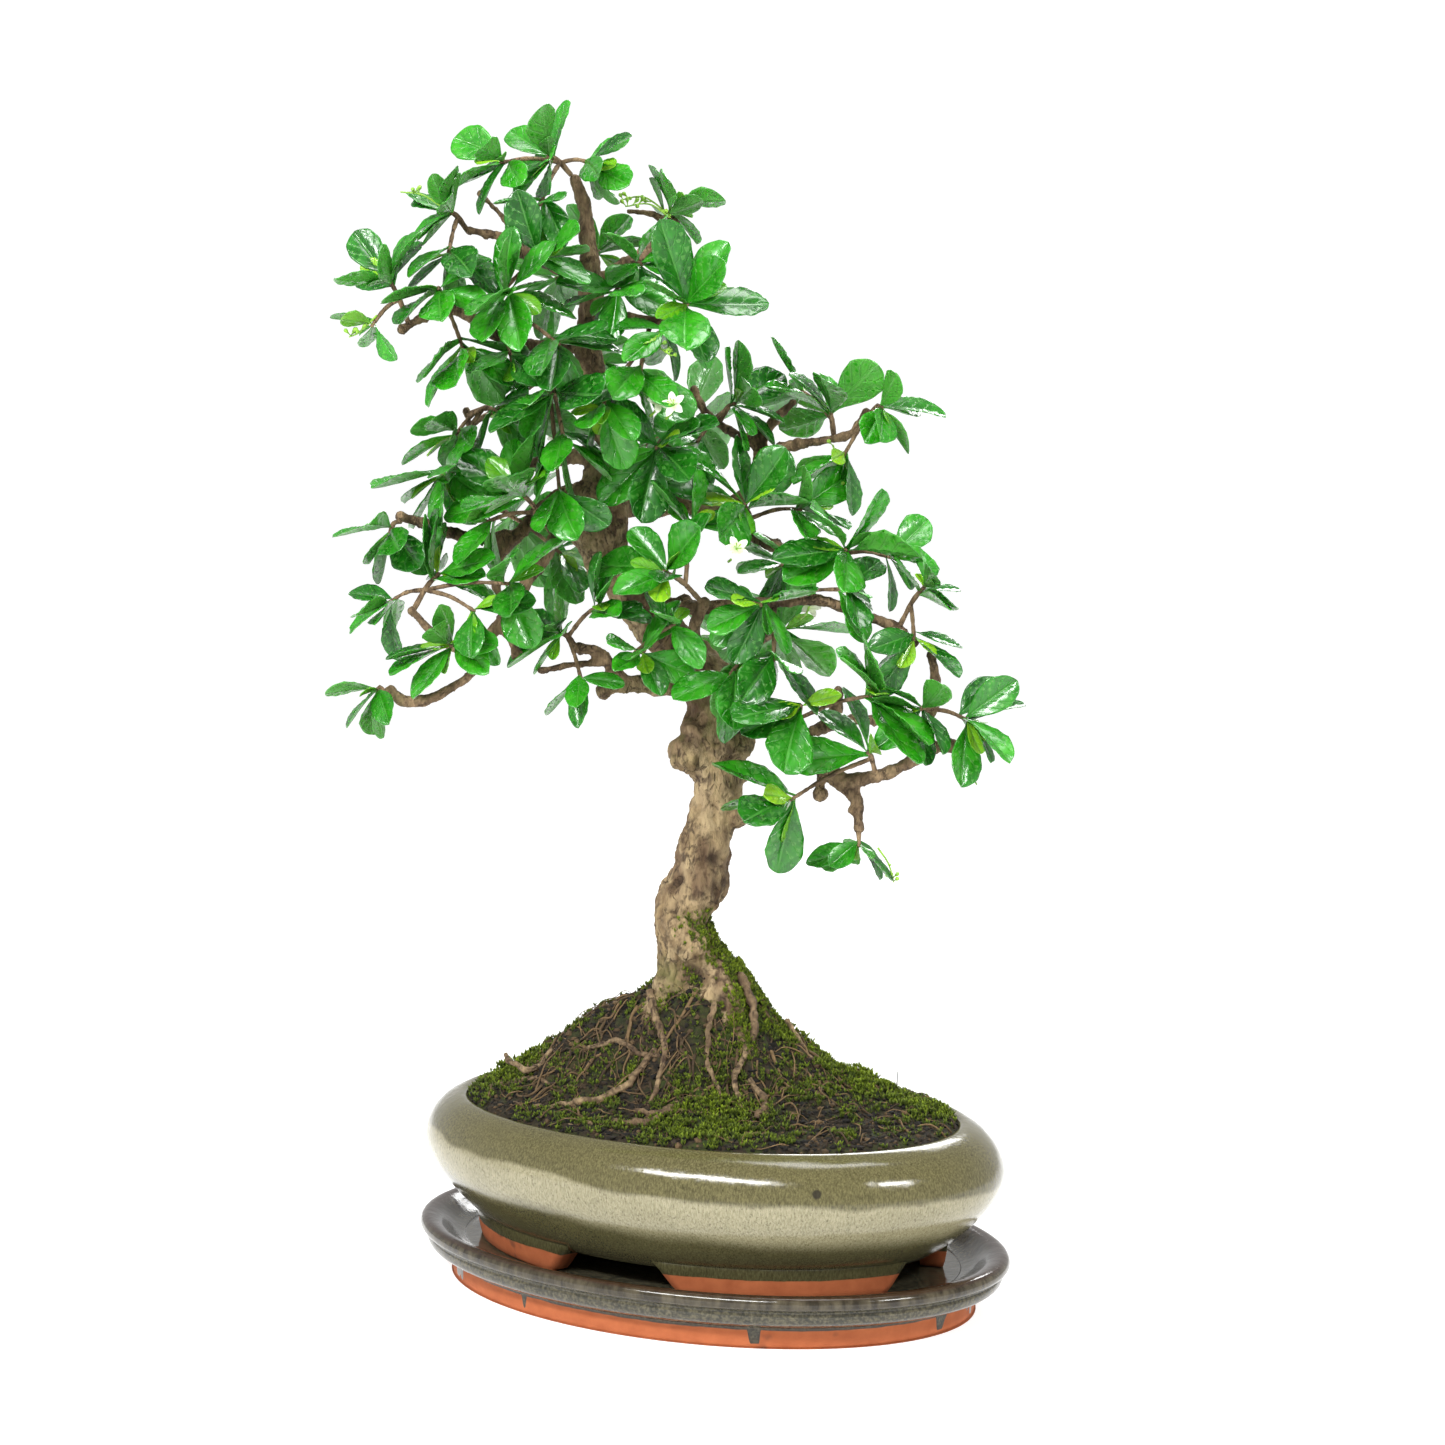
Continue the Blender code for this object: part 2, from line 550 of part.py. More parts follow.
def leaf_point(leaf, along, width):
    """A point of the leaf's sheet: along its length and across it, as shares."""
    base, out, across, up, size, bend, cup = leaf
    half = 0.5 * LEAF_WIDTH_SHARE * size
    lift = cup * abs(width) * half - bend * along**2 * size
    return base + out * along * size + across * width * half + up * lift


def leaf_outline(leaf, first=0.0):
    """The leaf's edge as places, from its tip down one side and back up the other."""
    shares = [(max(along, first), width) for along, width in LEAF_OUTLINE]
    right = [leaf_point(leaf, along, width) for along, width in shares]
    left = [leaf_point(leaf, along, -width) for along, width in shares[-2:0:-1]]
    return right + left


def leaf_faces(leaf, first=0.0):
    """The leaf as a thin fan, to test what it would run through."""
    ring = leaf_outline(leaf, first)
    middle = leaf_point(leaf, 0.55, 0)
    points = [middle + leaf[3] * 0.5 * MM, middle - leaf[3] * 0.5 * MM, *ring]
    count = len(ring)
    faces = []
    for i in range(count):
        after = (i + 1) % count
        faces.append((0, 2 + i, 2 + after))
        faces.append((1, 2 + after, 2 + i))
    return BVHTree.FromPolygons(points, faces)


def build_leaf(name, leaf, collection):
    """A leaf: a flat lens bent to its outline."""
    ring = leaf_outline(leaf)
    mesh = bpy.data.meshes.new(name)
    work = bmesh.new()
    bmesh.ops.create_uvsphere(work, u_segments=len(ring), v_segments=2, radius=1)
    half = LEAF_THICKNESS / 2 * MM
    middle = leaf_point(leaf, 0.55, 0)
    for vert in work.verts:
        if abs(vert.co.z) > 0.5:
            vert.co = middle + leaf[3] * math.copysign(half, vert.co.z)
        else:
            turn = math.atan2(vert.co.y, vert.co.x) / (2 * math.pi)
            vert.co = ring[round(turn * len(ring)) % len(ring)]
    bmesh.ops.recalc_face_normals(work, faces=work.faces)
    work.to_mesh(mesh)
    work.free()
    return link(name, mesh, collection)


def tree_of(obj):
    points = [vert.co.copy() for vert in obj.data.vertices]
    faces = [tuple(face.vertices) for face in obj.data.polygons]
    return BVHTree.FromPolygons(points, faces)


def choose_leaves(sprays, twigs, obstacles):
    """For every spray, the leaves that run through nothing, the first that fits of several tries each."""
    chosen = {name: [] for name in sprays}
    placed = []
    draw = random.Random(20)
    for name, rosettes in sprays.items():
        for (_u, _d, _z, leaves, length), twig in zip(rosettes, twigs[name]):
            for order in range(leaves):
                tries = [leaf_candidate(draw, twig, order, length) for _ in range(LEAF_TRIES)]
                for leaf in tries:
                    whole = leaf_faces(leaf)
                    blade = leaf_faces(leaf, 0.2)
                    near = [
                        (owner, other) for owner, base, other in placed
                        if (base - leaf[0]).length < 0.085
                    ]
                    if any(whole.overlap(other) for owner, other in near if owner != name):
                        continue
                    if any(blade.overlap(other) for owner, other in near if owner == name):
                        continue
                    if any((blade if owner == name else whole).overlap(other) for owner, other in obstacles):
                        continue
                    placed.append((name, leaf[0], whole))
                    chosen[name].append(leaf)
                    break
    return chosen


def build_sprays(parts, cutters, wood):
    """Every twig with its leaves, each spray one closed body."""
    sprays = {**SPRAYS, **BACK_SPRAYS}
    lines = wood_lines()
    twigs = {name: spray_twigs(rosettes, lines) for name, rosettes in sprays.items()}
    obstacles = [(None, tree_of(obj)) for obj in wood]
    tubes = {}
    for name, routes in twigs.items():
        tubes[name] = [
            tube(f"{name}_twig_{i}" if i else name, route, parts, sides=4, steps=1)
            for i, route in enumerate(routes)
        ]
        obstacles += [(name, tree_of(piece)) for piece in tubes[name]]
    built = []
    for name, leaves in choose_leaves(sprays, twigs, obstacles).items():
        pieces = [build_leaf(f"{name}_leaf_{i}", leaf, parts) for i, leaf in enumerate(leaves)]
        built.append(combine(tubes[name][0], tubes[name][1:] + pieces, "UNION", cutters))
    return built


def dress(objects, material):
    for obj in objects:
        obj.data.materials.clear()
        obj.data.materials.append(material)


def main():
    clear_scene()
    parts = new_collection("bonsai_tree")
    cutters = new_collection("cutters", hidden=True)

    saucer = lathe("drip_saucer", SAUCER_PROFILE, SAUCER_RATIO, parts)
    pot = build_pot(parts, cutters)
    screens = [
        cylinder(f"drain_screen_{side}", (at, 0, POT_FLOOR_TOP + 0.9), 13, 1.2, parts)
        for side, at in (("left", -DRAIN_HOLE_AT), ("right", DRAIN_HOLE_AT))
    ]
    trunk = build_trunk(parts, cutters)
    soil, whole = build_soil(parts, trunk_pieces(cutters, GAP), cutters)
    branches = [build_branch(name, limbs, parts, cutters) for name, limbs in BRANCHES.items()]
    moss = [build_moss(name, cushion, whole, parts, cutters) for name, cushion in MOSS.items()]
    roots = [build_surface_root(name, route, whole, parts, cutters) for name, route in SURFACE_ROOTS.items()]
    sprays = build_sprays(parts, cutters, [trunk, *branches])

    dress([saucer], new_material("saucer_glaze", (0.06, 0.055, 0.035), 0.15))
    dress([pot], new_material("pot_glaze", (0.22, 0.2, 0.12), 0.2))
    dress(screens, new_material("screen_plastic", (0.02, 0.02, 0.02), 0.6))
    dress([soil], new_material("soil", (0.03, 0.02, 0.012), 0.95))
    dress(moss, new_material("moss", (0.08, 0.2, 0.01), 0.95))
    dress([trunk, *branches, *roots], new_material("bark", (0.42, 0.3, 0.18), 0.85))
    dress(sprays, new_material("leaves", (0.02, 0.25, 0.03), 0.35))


main()
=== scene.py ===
"""The looks of the bonsai in its oval pot: a finely modelled piece for each CAD piece, in its place.
The drain screens keep their CAD mesh with a new material.
"""

import math
import random

import bmesh
import bpy
import numpy as np
from mathutils import Matrix, Vector, noise
from mathutils.kdtree import KDTree


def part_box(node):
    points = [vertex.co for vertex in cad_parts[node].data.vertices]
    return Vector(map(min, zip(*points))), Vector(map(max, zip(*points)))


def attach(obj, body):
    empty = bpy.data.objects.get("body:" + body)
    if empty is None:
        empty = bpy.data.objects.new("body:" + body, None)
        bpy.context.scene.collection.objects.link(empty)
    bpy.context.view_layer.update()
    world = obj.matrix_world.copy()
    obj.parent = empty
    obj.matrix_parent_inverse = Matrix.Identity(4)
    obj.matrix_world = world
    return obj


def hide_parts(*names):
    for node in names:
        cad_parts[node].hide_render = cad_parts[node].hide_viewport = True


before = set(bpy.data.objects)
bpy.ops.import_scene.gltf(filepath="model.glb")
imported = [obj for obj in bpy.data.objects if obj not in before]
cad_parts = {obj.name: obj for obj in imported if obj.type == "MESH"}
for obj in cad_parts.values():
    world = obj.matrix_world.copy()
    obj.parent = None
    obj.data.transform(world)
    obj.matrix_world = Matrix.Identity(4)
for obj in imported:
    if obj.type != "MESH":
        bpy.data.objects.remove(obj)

MM = 0.001
TREE_TURN = math.radians(33)
POT_RATIO = 0.675
SAUCER_RATIO = 0.69
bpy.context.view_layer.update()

CAMERA_TURN = math.radians(33)
CAMERA_RISE = math.radians(5.52)
CAMERA_AWAY = 1.2
CAMERA_LENS = 77.85
CAMERA_AIM = (5.8, 0, 219.9)
# Lamps: name, place as seen from the camera's side, width, depth, power.
LAMPS = [
    ("key", (-0.6, -0.9, 0.95), 0.85, 0.16, 19),
    ("side", (0.75, -0.75, 0.85), 0.35, 0.12, 7),
    ("top", (0.1, 0.1, 1.3), 0.6, 0.6, 9),
    ("back", (0.2, 1, 0.8), 0.6, 0.4, 8),
]

# Half profiles (long-axis radius, height) in millimetres.
SAUCER_PROFILE = [
    (0, 14.5), (60, 14.5), (100, 14.6), (105.5, 15), (110, 16.4), (113.5, 18.8), (116, 20.6),
    (119, 21.6), (122, 21.8), (124.2, 20.8), (125, 19), (124.3, 17.3), (122.3, 16.3),
    (121.4, 15.5), (122.1, 14.3), (121.6, 12.2), (119.2, 10.3), (115.5, 9), (112.6, 8.3),
    (111.4, 7.4), (111, 4), (110.6, 1), (109.8, 0.1), (107, 0), (60, 0), (0, 0),
]
POT_PROFILE = [
    (0, 31.5), (60, 31.5), (88, 31.7), (97, 34.5), (106, 40.5), (113, 47.5), (116, 54.3),
    (113.5, 60), (107, 65.5), (104.2, 68.6), (104.6, 70.5), (106.6, 71), (110, 70.1),
    (115.3, 67.2), (120.3, 61.8), (122.9, 54.3), (120.6, 46.5), (114.2, 38.2), (105.8, 30.4),
    (98.5, 25.3), (95, 23.7), (90, 23.2), (60, 23.2), (0, 23.2),
]
SOIL_SIDE = [
    (104.4, 67.4), (106.6, 65.2), (112.4, 59.6), (114.8, 54.3), (111.8, 48.3), (105, 41.7),
    (96, 36), (87, 33.4), (0.5, 33.4),
]
# Where each foot starts and ends round the pot, in degrees.
FEET_SPANS = [(-167, -101), (-79, -13), (13, 79), (101, 167)]
# Levels of a foot: height, slant of its ends in degrees, outer radius.
FOOT_LEVELS = [
    (29.4, 0, 100.4), (26.5, 0, 100.6), (24, 1.5, 100.2), (18, 4.5, 99), (15.4, 6, 98.2),
    (14.8, 6.8, 97.3),
]
FOOT_STEPS = 28
OVAL_STEPS = 200
DRAIN_HOLES = (-45, 45)

# Half lengths of the ovals, in millimetres: the CAD mound's edge, the shown soil's edge, how far
# random bits lie, and how far the roots and fibres lie.
MOUND_EDGE = 102.8
SOIL_EDGE = 103.8
BITS_EDGE = 103.4
FIBRE_EDGE = 100
# The skin's grid: any finer and the piece has more faces than the export keeps.
BARK_VOXEL = 0.00092
SOIL_STEPS = 300
SOIL_RINGS = 110
CRUMB_TRIES = 11500
FIBRE_COUNT = 520
ROOTLET_COUNT = 80
MOSS_TRIES = 42000
BARK_MOSS_COUNT = 5000
MOSS_NODES = ["moss_left", "moss_front", "moss_right", "moss_trunk"]

# Humps of the mound: middle (u, d), height, spread along u and d.
MOUND_HUMPS = [
    (0, 0, 47, 18, 19), (-40, 8, 24, 17, 20), (-73, 16, 8, 18, 18),
    (30, 4, 9, 14, 20), (60, -6, 4, 20, 20),
]

# Each limb: (u, d, z, radius) from where it leaves its parent.
TRUNK = [
    (3, 0, 92, 20), (2, 0, 108, 18), (-2, 0, 120, 14.5), (-8, 0, 131, 12.7),
    (-10, 0, 141, 11.5), (-9, 0, 149, 11.5), (-4, -1, 157, 11.5), (-2, -2, 166, 11),
    (0, -3, 177, 10), (2, -3, 187, 9.2), (4, -2, 196, 10), (3, 0, 205, 13),
    (3, 0, 215, 13.3), (4, 0, 225, 12.4), (0, 1, 234, 11.2), (-10, 2, 246, 9.8),
    (-21, 3, 259, 8.7), (-31, 3, 271, 8), (-38, 2, 282, 8.8), (-41, 0, 294, 10.6),
    (-40, 0, 305, 10.8), (-38, 0, 317, 8.4), (-39, 1, 332, 6.5), (-43, 2, 349, 5.8),
    (-45, 2, 366, 5.3), (-44, 1, 383, 4.8), (-45, 0, 398, 3.8), (-46, 0, 413, 3.1),
    (-50, -2, 427, 2.2),
]
ROOT_FLARE = [
    [(-7, -2, 130, 8.5), (-17, -5, 114, 6), (-25, -9, 100, 4), (-30, -12, 89, 2.5)],
    [(2, -6, 122, 9), (9, -14, 108, 6.5), (15, -21, 96, 4.5), (19, -27, 84, 2.5)],
    [(6, 3, 122, 9), (16, 6, 107, 6), (25, 9, 94, 4), (31, 10, 84, 2.5)],
    [(-4, 8, 122, 8), (-8, 17, 106, 6), (-10, 26, 92, 4), (-11, 32, 82, 2.5)],
]
BURLS = [(-12, -6, 142, 8), (12, -7, 184, 4.5), (-7, -7, 208, 8), (10, -7, 213, 8), (-48, -2, 300, 7)]

BRANCHES = {
    "branch_low_right": [
        [(4, -2, 228, 6.4), (19, -8, 223, 4.8), (28, -12, 220, 4.3), (36, -17, 214, 3.9),
         (44, -21, 206, 3.6), (50, -24, 200, 3.6), (56, -26, 194, 2.8), (57, -27, 188, 2.4),
         (57, -28, 183, 1.9)],
        [(50, -24, 199, 3.1), (65, -30, 203, 2.8), (75, -34, 208, 2.8), (84, -36, 214, 2.7),
         (91, -37, 215, 2.3)],
        [(82, -36, 213, 2.8), (82, -35, 223, 2.7), (85, -33, 232, 2.6), (85, -31, 240, 2.4),
         (84, -29, 248, 1.9)],
        [(34, -16, 216, 3.1), (44, -12, 219, 3), (49, -8, 225, 2.7), (50, -6, 232, 1.9)],
        [(45, -11, 220, 2.7), (61, 2, 221, 2.3), (73, 10, 219, 1.9)],
        [(44, -21, 206, 2.3), (43, -21, 201, 2), (43, -22, 195, 2.3)],
    ],
    "branch_low_left": [
        [(0, -3, 236, 6.4), (-7, -7, 235, 5.4), (-19, -12, 236, 4.3), (-30, -16, 236, 3.5),
         (-39, -20, 234, 2.7)],
        [(-30, -16, 236, 3.2), (-36, -17, 242, 2.7), (-40, -18, 248, 2.4), (-48, -20, 250, 2)],
        [(-38, -17, 244, 1.6), (-50, -22, 244, 1.5), (-62, -26, 242, 1.4)],
        [(-5, -8, 235, 3.5), (-5, -16, 248, 2.7), (-5, -20, 258, 2.5), (-1, -24, 267, 2.2)],
    ],
    "branch_left_droop": [
        [(-42, -3, 294, 5), (-48, -8, 294, 3.9), (-55, -11, 293, 3.5), (-60, -15, 287, 3.1),
         (-65, -19, 279, 2.8), (-72, -23, 268, 2.5), (-78, -25, 260, 2.4), (-82, -27, 253, 2.3),
         (-87, -29, 242, 2), (-99, -31, 234, 2), (-106, -32, 231, 2.3), (-113, -33, 231, 2.6),
         (-118, -34, 235, 2)],
        [(-78, -25, 259, 2), (-74, -27, 254, 1.6), (-71, -28, 248, 1.9)],
        [(-84, -27, 250, 1.9), (-95, -25, 250, 1.6), (-103, -22, 256, 1.6), (-111, -20, 264, 1.5)],
    ],
    "branch_left_mid": [
        [(-42, 4, 307, 5), (-52, 10, 308, 3.9), (-61, 13, 303, 3.5), (-67, 13, 298, 3.4),
         (-74, 10, 291, 3.1), (-89, 5, 290, 2.8), (-99, 1, 293, 2.6), (-110, -4, 297, 2.3),
         (-116, -8, 299, 1.9)],
        [(-75, 9, 291, 2.7), (-81, 6, 282, 2.4), (-81, 4, 273, 2.2), (-80, 3, 266, 1.6)],
    ],
    "branch_left_upper": [
        [(-39, 2, 321, 4.6), (-55, 12, 321, 3.5), (-68, 18, 318, 3.1), (-80, 21, 315, 2.7),
         (-89, 20, 313, 2.3)],
        [(-88, 19, 303, 1.6), (-88, 20, 314, 1.9), (-90, 18, 324, 1.6), (-93, 15, 339, 1.4)],
    ],
    "branch_right_low": [
        [(-29, 2, 270, 4.8), (-10, -10, 265, 3.2), (12, -20, 266, 2.8), (31, -26, 268, 2.4),
         (44, -28, 268, 2.3), (59, -30, 263, 2.3), (71, -31, 258, 2.2), (77, -31, 253, 1.9)],
    ],
    "branch_right_upper": [
        [(-40, 2, 304, 6), (-26, 10, 303, 4.3), (-9, 16, 302, 3.6), (0, 18, 300, 3.7),
         (12, 18, 304, 3.8), (19, 18, 312, 3.6), (21, 17, 322, 3.7), (19, 16, 329, 2.7)],
        [(20, 16, 325, 2.4), (6, 12, 333, 1.9), (-1, 10, 339, 1.8), (-5, 8, 347, 1.5)],
        [(20, 16, 326, 2.4), (26, 17, 336, 2), (33, 18, 342, 1.5)],
        [(20, 17, 321, 2.7), (30, 15, 325, 2.3), (40, 12, 327, 2), (54, 9, 330, 1.9),
         (61, 7, 338, 1.8)],
        [(-1, 17, 300, 3.2), (9, 9, 294, 2.7), (19, 2, 290, 2.6), (28, -4, 287, 2.3),
         (46, -12, 282, 1.9), (65, -16, 279, 1.6)],
        [(-10, 16, 302, 2.4), (-11, 10, 315, 1.9), (-15, 6, 328, 1.5)],
    ],
    "branch_crown_left": [
        [(-45, 2, 364, 3.6), (-63, -8, 363, 2.7), (-79, -15, 367, 2.4), (-87, -18, 373, 2.3),
         (-98, -21, 377, 2.3), (-113, -26, 369, 1.9)],
    ],
    "branch_crown_upper_left": [
        [(-45, 0, 388, 3.2), (-59, -6, 394, 2.8), (-71, -10, 399, 3), (-78, -11, 404, 2),
         (-89, -12, 406, 1.6)],
        [(-71, -10, 399, 2.3), (-75, -10, 409, 1.6), (-85, -10, 420, 1.3)],
    ],
    "branch_crown_right": [
        [(-44, 0, 384, 3.5), (-36, 7, 391, 3.1), (-26, 12, 397, 2.8), (-20, 15, 403, 2.4),
         (-13, 17, 412, 2.5)],
        [(-14, 17, 410, 1.6), (-21, 16, 414, 1.3), (-30, 15, 415, 1.2)],
    ],
    "branch_crown_mid_right": [
        [(-45, 1, 371, 3.2), (-33, -14, 374, 2.4), (-21, -22, 372, 2.3), (-11, -27, 373, 1.9)],
    ],
}
LIMBS = [limb for limbs in BRANCHES.values() for limb in limbs]
# More swellings of the trunk and its forks: (u, d, z, radius).
KNOTS = [
    (-4, -9, 217, 6), (13, 2, 200, 5), (-13, 1, 150, 5), (-6, -10, 136, 7), (-46, -6, 309, 6),
]
SURFACE_ROOTS = {
    "root_front_left": [(-20, -22, 1.6), (-32, -30, 1.8), (-48, -30, 1.6), (-66, -22, 1.2)],
    "root_front": [(-10, -42, 1.5), (-20, -50, 1.8), (-38, -47, 1.7), (-52, -42, 1.3)],
    "root_front_right": [(16, -34, 1.6), (22, -44, 1.8), (18, -54, 1.4)],
}

# Each spray: rosettes as (u, d, z, leaves, leaf length).
SPRAYS = {
    "spray_apex": [
        (-60, -6, 434, 8, 22), (-42, -4, 431, 7, 22), (-77, -16, 431, 6, 22), (-62, -20, 415, 6, 20),
    ],
    "spray_crown_left_tip": [(-97, -16, 413, 9, 19), (-96, -22, 397, 6, 26)],
    "spray_crown_far_left": [(-118, -30, 388, 7, 22), (-124, -30, 370, 4, 18)],
    "spray_crown_left_mid": [(-99, -32, 384, 6, 26), (-90, -28, 361, 7, 28)],
    "spray_crown_front": [
        (-72, -34, 383, 7, 28), (-60, -26, 397, 6, 24), (-54, -36, 363, 7, 28), (-72, -30, 357, 6, 24),
    ],
    "spray_crown_right_mid": [(-25, -8, 394, 7, 24), (-34, -18, 383, 6, 24), (-13, 10, 416, 7, 20)],
    "spray_crown_right_far": [(-7, -32, 378, 8, 30), (-17, -30, 367, 4, 24)],
    "spray_mid_right": [(-25, -30, 351, 7, 26), (-39, -36, 340, 6, 24)],
    "spray_mid_front": [(-56, -34, 345, 6, 28), (-53, -30, 328, 6, 26), (-55, -26, 309, 4, 24)],
    "spray_left_shoulder": [(-79, 6, 339, 8, 24), (-96, 2, 330, 6, 24), (-101, -4, 314, 7, 28)],
    "spray_left_far": [(-120, -12, 293, 7, 22)],
    "spray_left_front": [(-70, -24, 309, 6, 32), (-84, -16, 297, 6, 24)],
    "spray_left_low": [
        (-101, -16, 278, 7, 28), (-120, -20, 267, 6, 22), (-73, -34, 275, 4, 32),
        (-86, -38, 265, 3, 22),
    ],
    "spray_droop_mid": [(-95, -38, 252, 7, 24)],
    "spray_droop_tip": [(-123, -36, 235, 6, 20)],
    "spray_inner_right": [(-19, -22, 325, 7, 28)],
    "spray_low_left": [(-56, -26, 256, 7, 22), (-40, -28, 267, 6, 24), (-47, -27, 238, 4, 20)],
    "spray_low_centre": [(-23, -32, 250, 7, 22), (-12, -34, 260, 4, 22)],
    "spray_centre_front": [(-16, -38, 280, 7, 28), (-6, -20, 296, 4, 24)],
    "spray_right_up_left": [(11, 8, 342, 8, 26), (-4, 2, 327, 6, 26)],
    "spray_right_up_tip": [(47, 12, 339, 7, 26), (36, 22, 347, 3, 24)],
    "spray_right_up_far": [(67, 4, 340, 6, 24), (52, 2, 322, 3, 24)],
    "spray_right_front": [(14, -12, 304, 7, 32), (36, -8, 302, 6, 26)],
    "spray_right_cross": [(52, -20, 287, 6, 30), (69, -18, 284, 3, 22), (27, -20, 281, 7, 22)],
    "spray_right_low": [(20, -36, 267, 6, 24), (53, -34, 273, 7, 24)],
    "spray_right_low_tip": [(81, -34, 274, 6, 20), (77, -36, 254, 6, 24)],
    "spray_low_right_front": [(25, -32, 246, 6, 28), (8, -30, 240, 6, 30)],
    "spray_low_right_mid": [(35, -38, 230, 7, 30), (62, -40, 234, 6, 34)],
    "spray_low_right_rise": [(79, -44, 229, 6, 20), (98, -40, 224, 7, 24)],
    "spray_low_right_under": [(60, -33, 212, 4, 32), (31, -34, 194, 4, 36)],
    "spray_low_right_end": [(57, -31, 176, 6, 20)],
}
BACK_SPRAYS = {
    "spray_back_low": [(31, 60, 252, 8, 28), (9, 44, 247, 6, 26)],
    "spray_back_left": [(-77, 60, 296, 8, 28), (-58, 40, 283, 6, 26)],
    "spray_back_middle": [(-7, 60, 336, 8, 28), (-27, 38, 324, 6, 26)],
    "spray_back_crown": [(-61, 38, 390, 8, 26), (-42, 26, 401, 6, 24)],
    "spray_back_upper_left": [(-72, 44, 343, 8, 28), (-48, 32, 359, 6, 24)],
}
TWIG_RADIUS = 0.9
LEAF_TRIES = 18
# A leaf's width as a share of its length, and where its edge is looked for on the CAD mesh: shares
# of its length and of its half width, and how near a CAD corner must lie, in millimetres.
LEAF_WIDTH_SHARE = 0.54
LEAF_EDGE = [(1, 0), (0.74, 0.95), (0.74, -0.95), (0.32, 0.8), (0.32, -0.8)]
LEAF_NEAR = 0.06
# The shown blade's grid: shares of its length, closer together near the tip, and of its half width.
LEAF_ALONG = np.sin(np.linspace(0, 0.5 * np.pi, 21)) ** 1.1
LEAF_ACROSS = np.array([-1, -0.86, -0.6, -0.33, -0.12, 0, 0.12, 0.33, 0.6, 0.86, 1])
# Its half width along it: shares of the length, shares of the greatest half width.
LEAF_WIDTHS = (
    (0, 0.07, 0.14, 0.22, 0.34, 0.46, 0.58, 0.7, 0.8, 0.88, 0.94, 0.98, 1),
    (0.05, 0.08, 0.2, 0.4, 0.66, 0.86, 0.97, 0.99, 0.9, 0.72, 0.52, 0.3, 0.04),
)
# Pairs of side veins, and how far each runs forward on its way to the edge.
VEINS = 5.5
VEIN_SLANT = 1.7
# Roots that only show: (u, d, height over the mound, radius).
SHOWN_ROOTS = [
    [(-22, -6, 4, 2.2), (-20, -14, 2, 1.8), (-16, -24, 1.5, 1.5), (-19, -34, 1, 1.2),
     (-22, -40, 0, 0.8)],
    [(13, -8, 5, 2.3), (18, -16, 3, 2), (14, -27, 2, 1.6), (10, -36, 2, 1.4), (13, -46, 0.5, 0.9)],
    [(-60, 2, 1, 1.2), (-68, -2, 3, 1.5), (-76, 4, 8, 1.4), (-79, 8, 12, 1.1)],
    [(-88, 20, 1, 1), (-80, 6, 1.4, 1.2), (-66, -6, 1, 1), (-58, -16, 0, 0.7)],
    [(-46, -10, 1, 1.1), (-34, -14, 1.6, 1.4), (-24, -22, 1.2, 1.2), (-12, -26, 0, 0.8)],
    [(2, -18, 3, 1.4), (0, -30, 1.5, 1.2), (5, -40, 1, 1), (2, -50, 0, 0.7)],
    [(30, 0, 2, 1.3), (38, -8, 1.4, 1.1), (44, -20, 0, 0.7)],
    [(-30, 24, 2, 1.6), (-44, 30, 1.5, 1.3), (-58, 30, 0, 0.8)],
    [(8, 26, 3, 1.6), (20, 36, 1.5, 1.2), (26, 44, 0, 0.8)],
    [(-28, -42, 1.2, 1.2), (-16, -48, 1.6, 1.4), (0, -50, 1.2, 1.1), (8, -58, 0, 0.7)],
]
# Moss grows most here: middle (u, d), reach, how dense.
MOSS_SPOTS = [
    (-76, 18, 15, 1), (0, -54, 26, 0.8), (62, -12, 22, 0.75), (20, -2, 17, 1), (-20, -8, 12, 0.5),
    (40, 20, 26, 0.9), (10, 34, 22, 0.7), (-40, 34, 26, 0.6), (84, -26, 12, 1), (-42, -36, 16, 0.4),
    (-52, -8, 12, 0.35), (8, -26, 14, 0.55), (34, -28, 16, 0.45),
]
# Three places in the noise that bends the bark's flakes, one for each direction.
WARP_PLACES = ((0, 0, 0), (9, 0, 0), (0, 9, 0))
# Belts of the wood where lichen grows: height, reach, how strong.
DAMP_BELTS = ((222, 22, 0.8), (122, 14, 0.9), (290, 18, 0.5))
# Old wounds in the bark: (u, d, z), reach.
HOLLOWS = [
    (-5, -10, 214, 3.8), (11, -9, 217, 3.4), (-6, -14, 124, 4), (5, -12, 157, 3),
    (-38, -12, 298, 4), (-28, -10, 292, 3), (2, -12, 147, 3), (4, -12, 168, 2.6),
    (-12, -9, 160, 2.2), (9, 10, 228, 4), (-4, 11, 165, 4),
]
# Flowers: (u, d, z) and the way they look, in degrees. Bud stems: the (u, d, z) they run through.
FLOWERS = [
    (-18, -36, 342, 30), (-12, -44, 341, -20), (11, -38, 288, 10), (-60, 50, 330, 170),
    (40, 40, 262, 150),
]
BUD_STEMS = [
    [(-14, 6, 412), (-22, 4, 417), (-31, 2, 416)], [(-14, 8, 413), (-24, 10, 420), (-33, 10, 419)],
    [(-122, -30, 374), (-128, -32, 368), (-132, -33, 366)], [(48, 6, 326), (51, 5, 316), (53, 4, 306)],
    [(92, -40, 214), (97, -42, 207), (100, -44, 201)],
    [(-98, -16, 414), (-106, -17, 419), (-114, -18, 420)],
    [(-19, -34, 364), (-16, -36, 361), (-13, -37, 359)],
    [(64, -34, 176), (68, -34, 170), (70, -34, 163)],
]


def tree_point(u, d, z):
    """The world place, in metres, of a point in the tree's own frame."""
    return Matrix.Rotation(TREE_TURN, 3, "Z") @ Vector((u, d, z)) * MM


def pot_share(u, d, edge):
    """How far out a place lies in the pot, as a share of the oval with this half length."""
    world = tree_point(u, d, 0) / MM
    return math.hypot(world.x / edge, world.y / (edge * POT_RATIO))


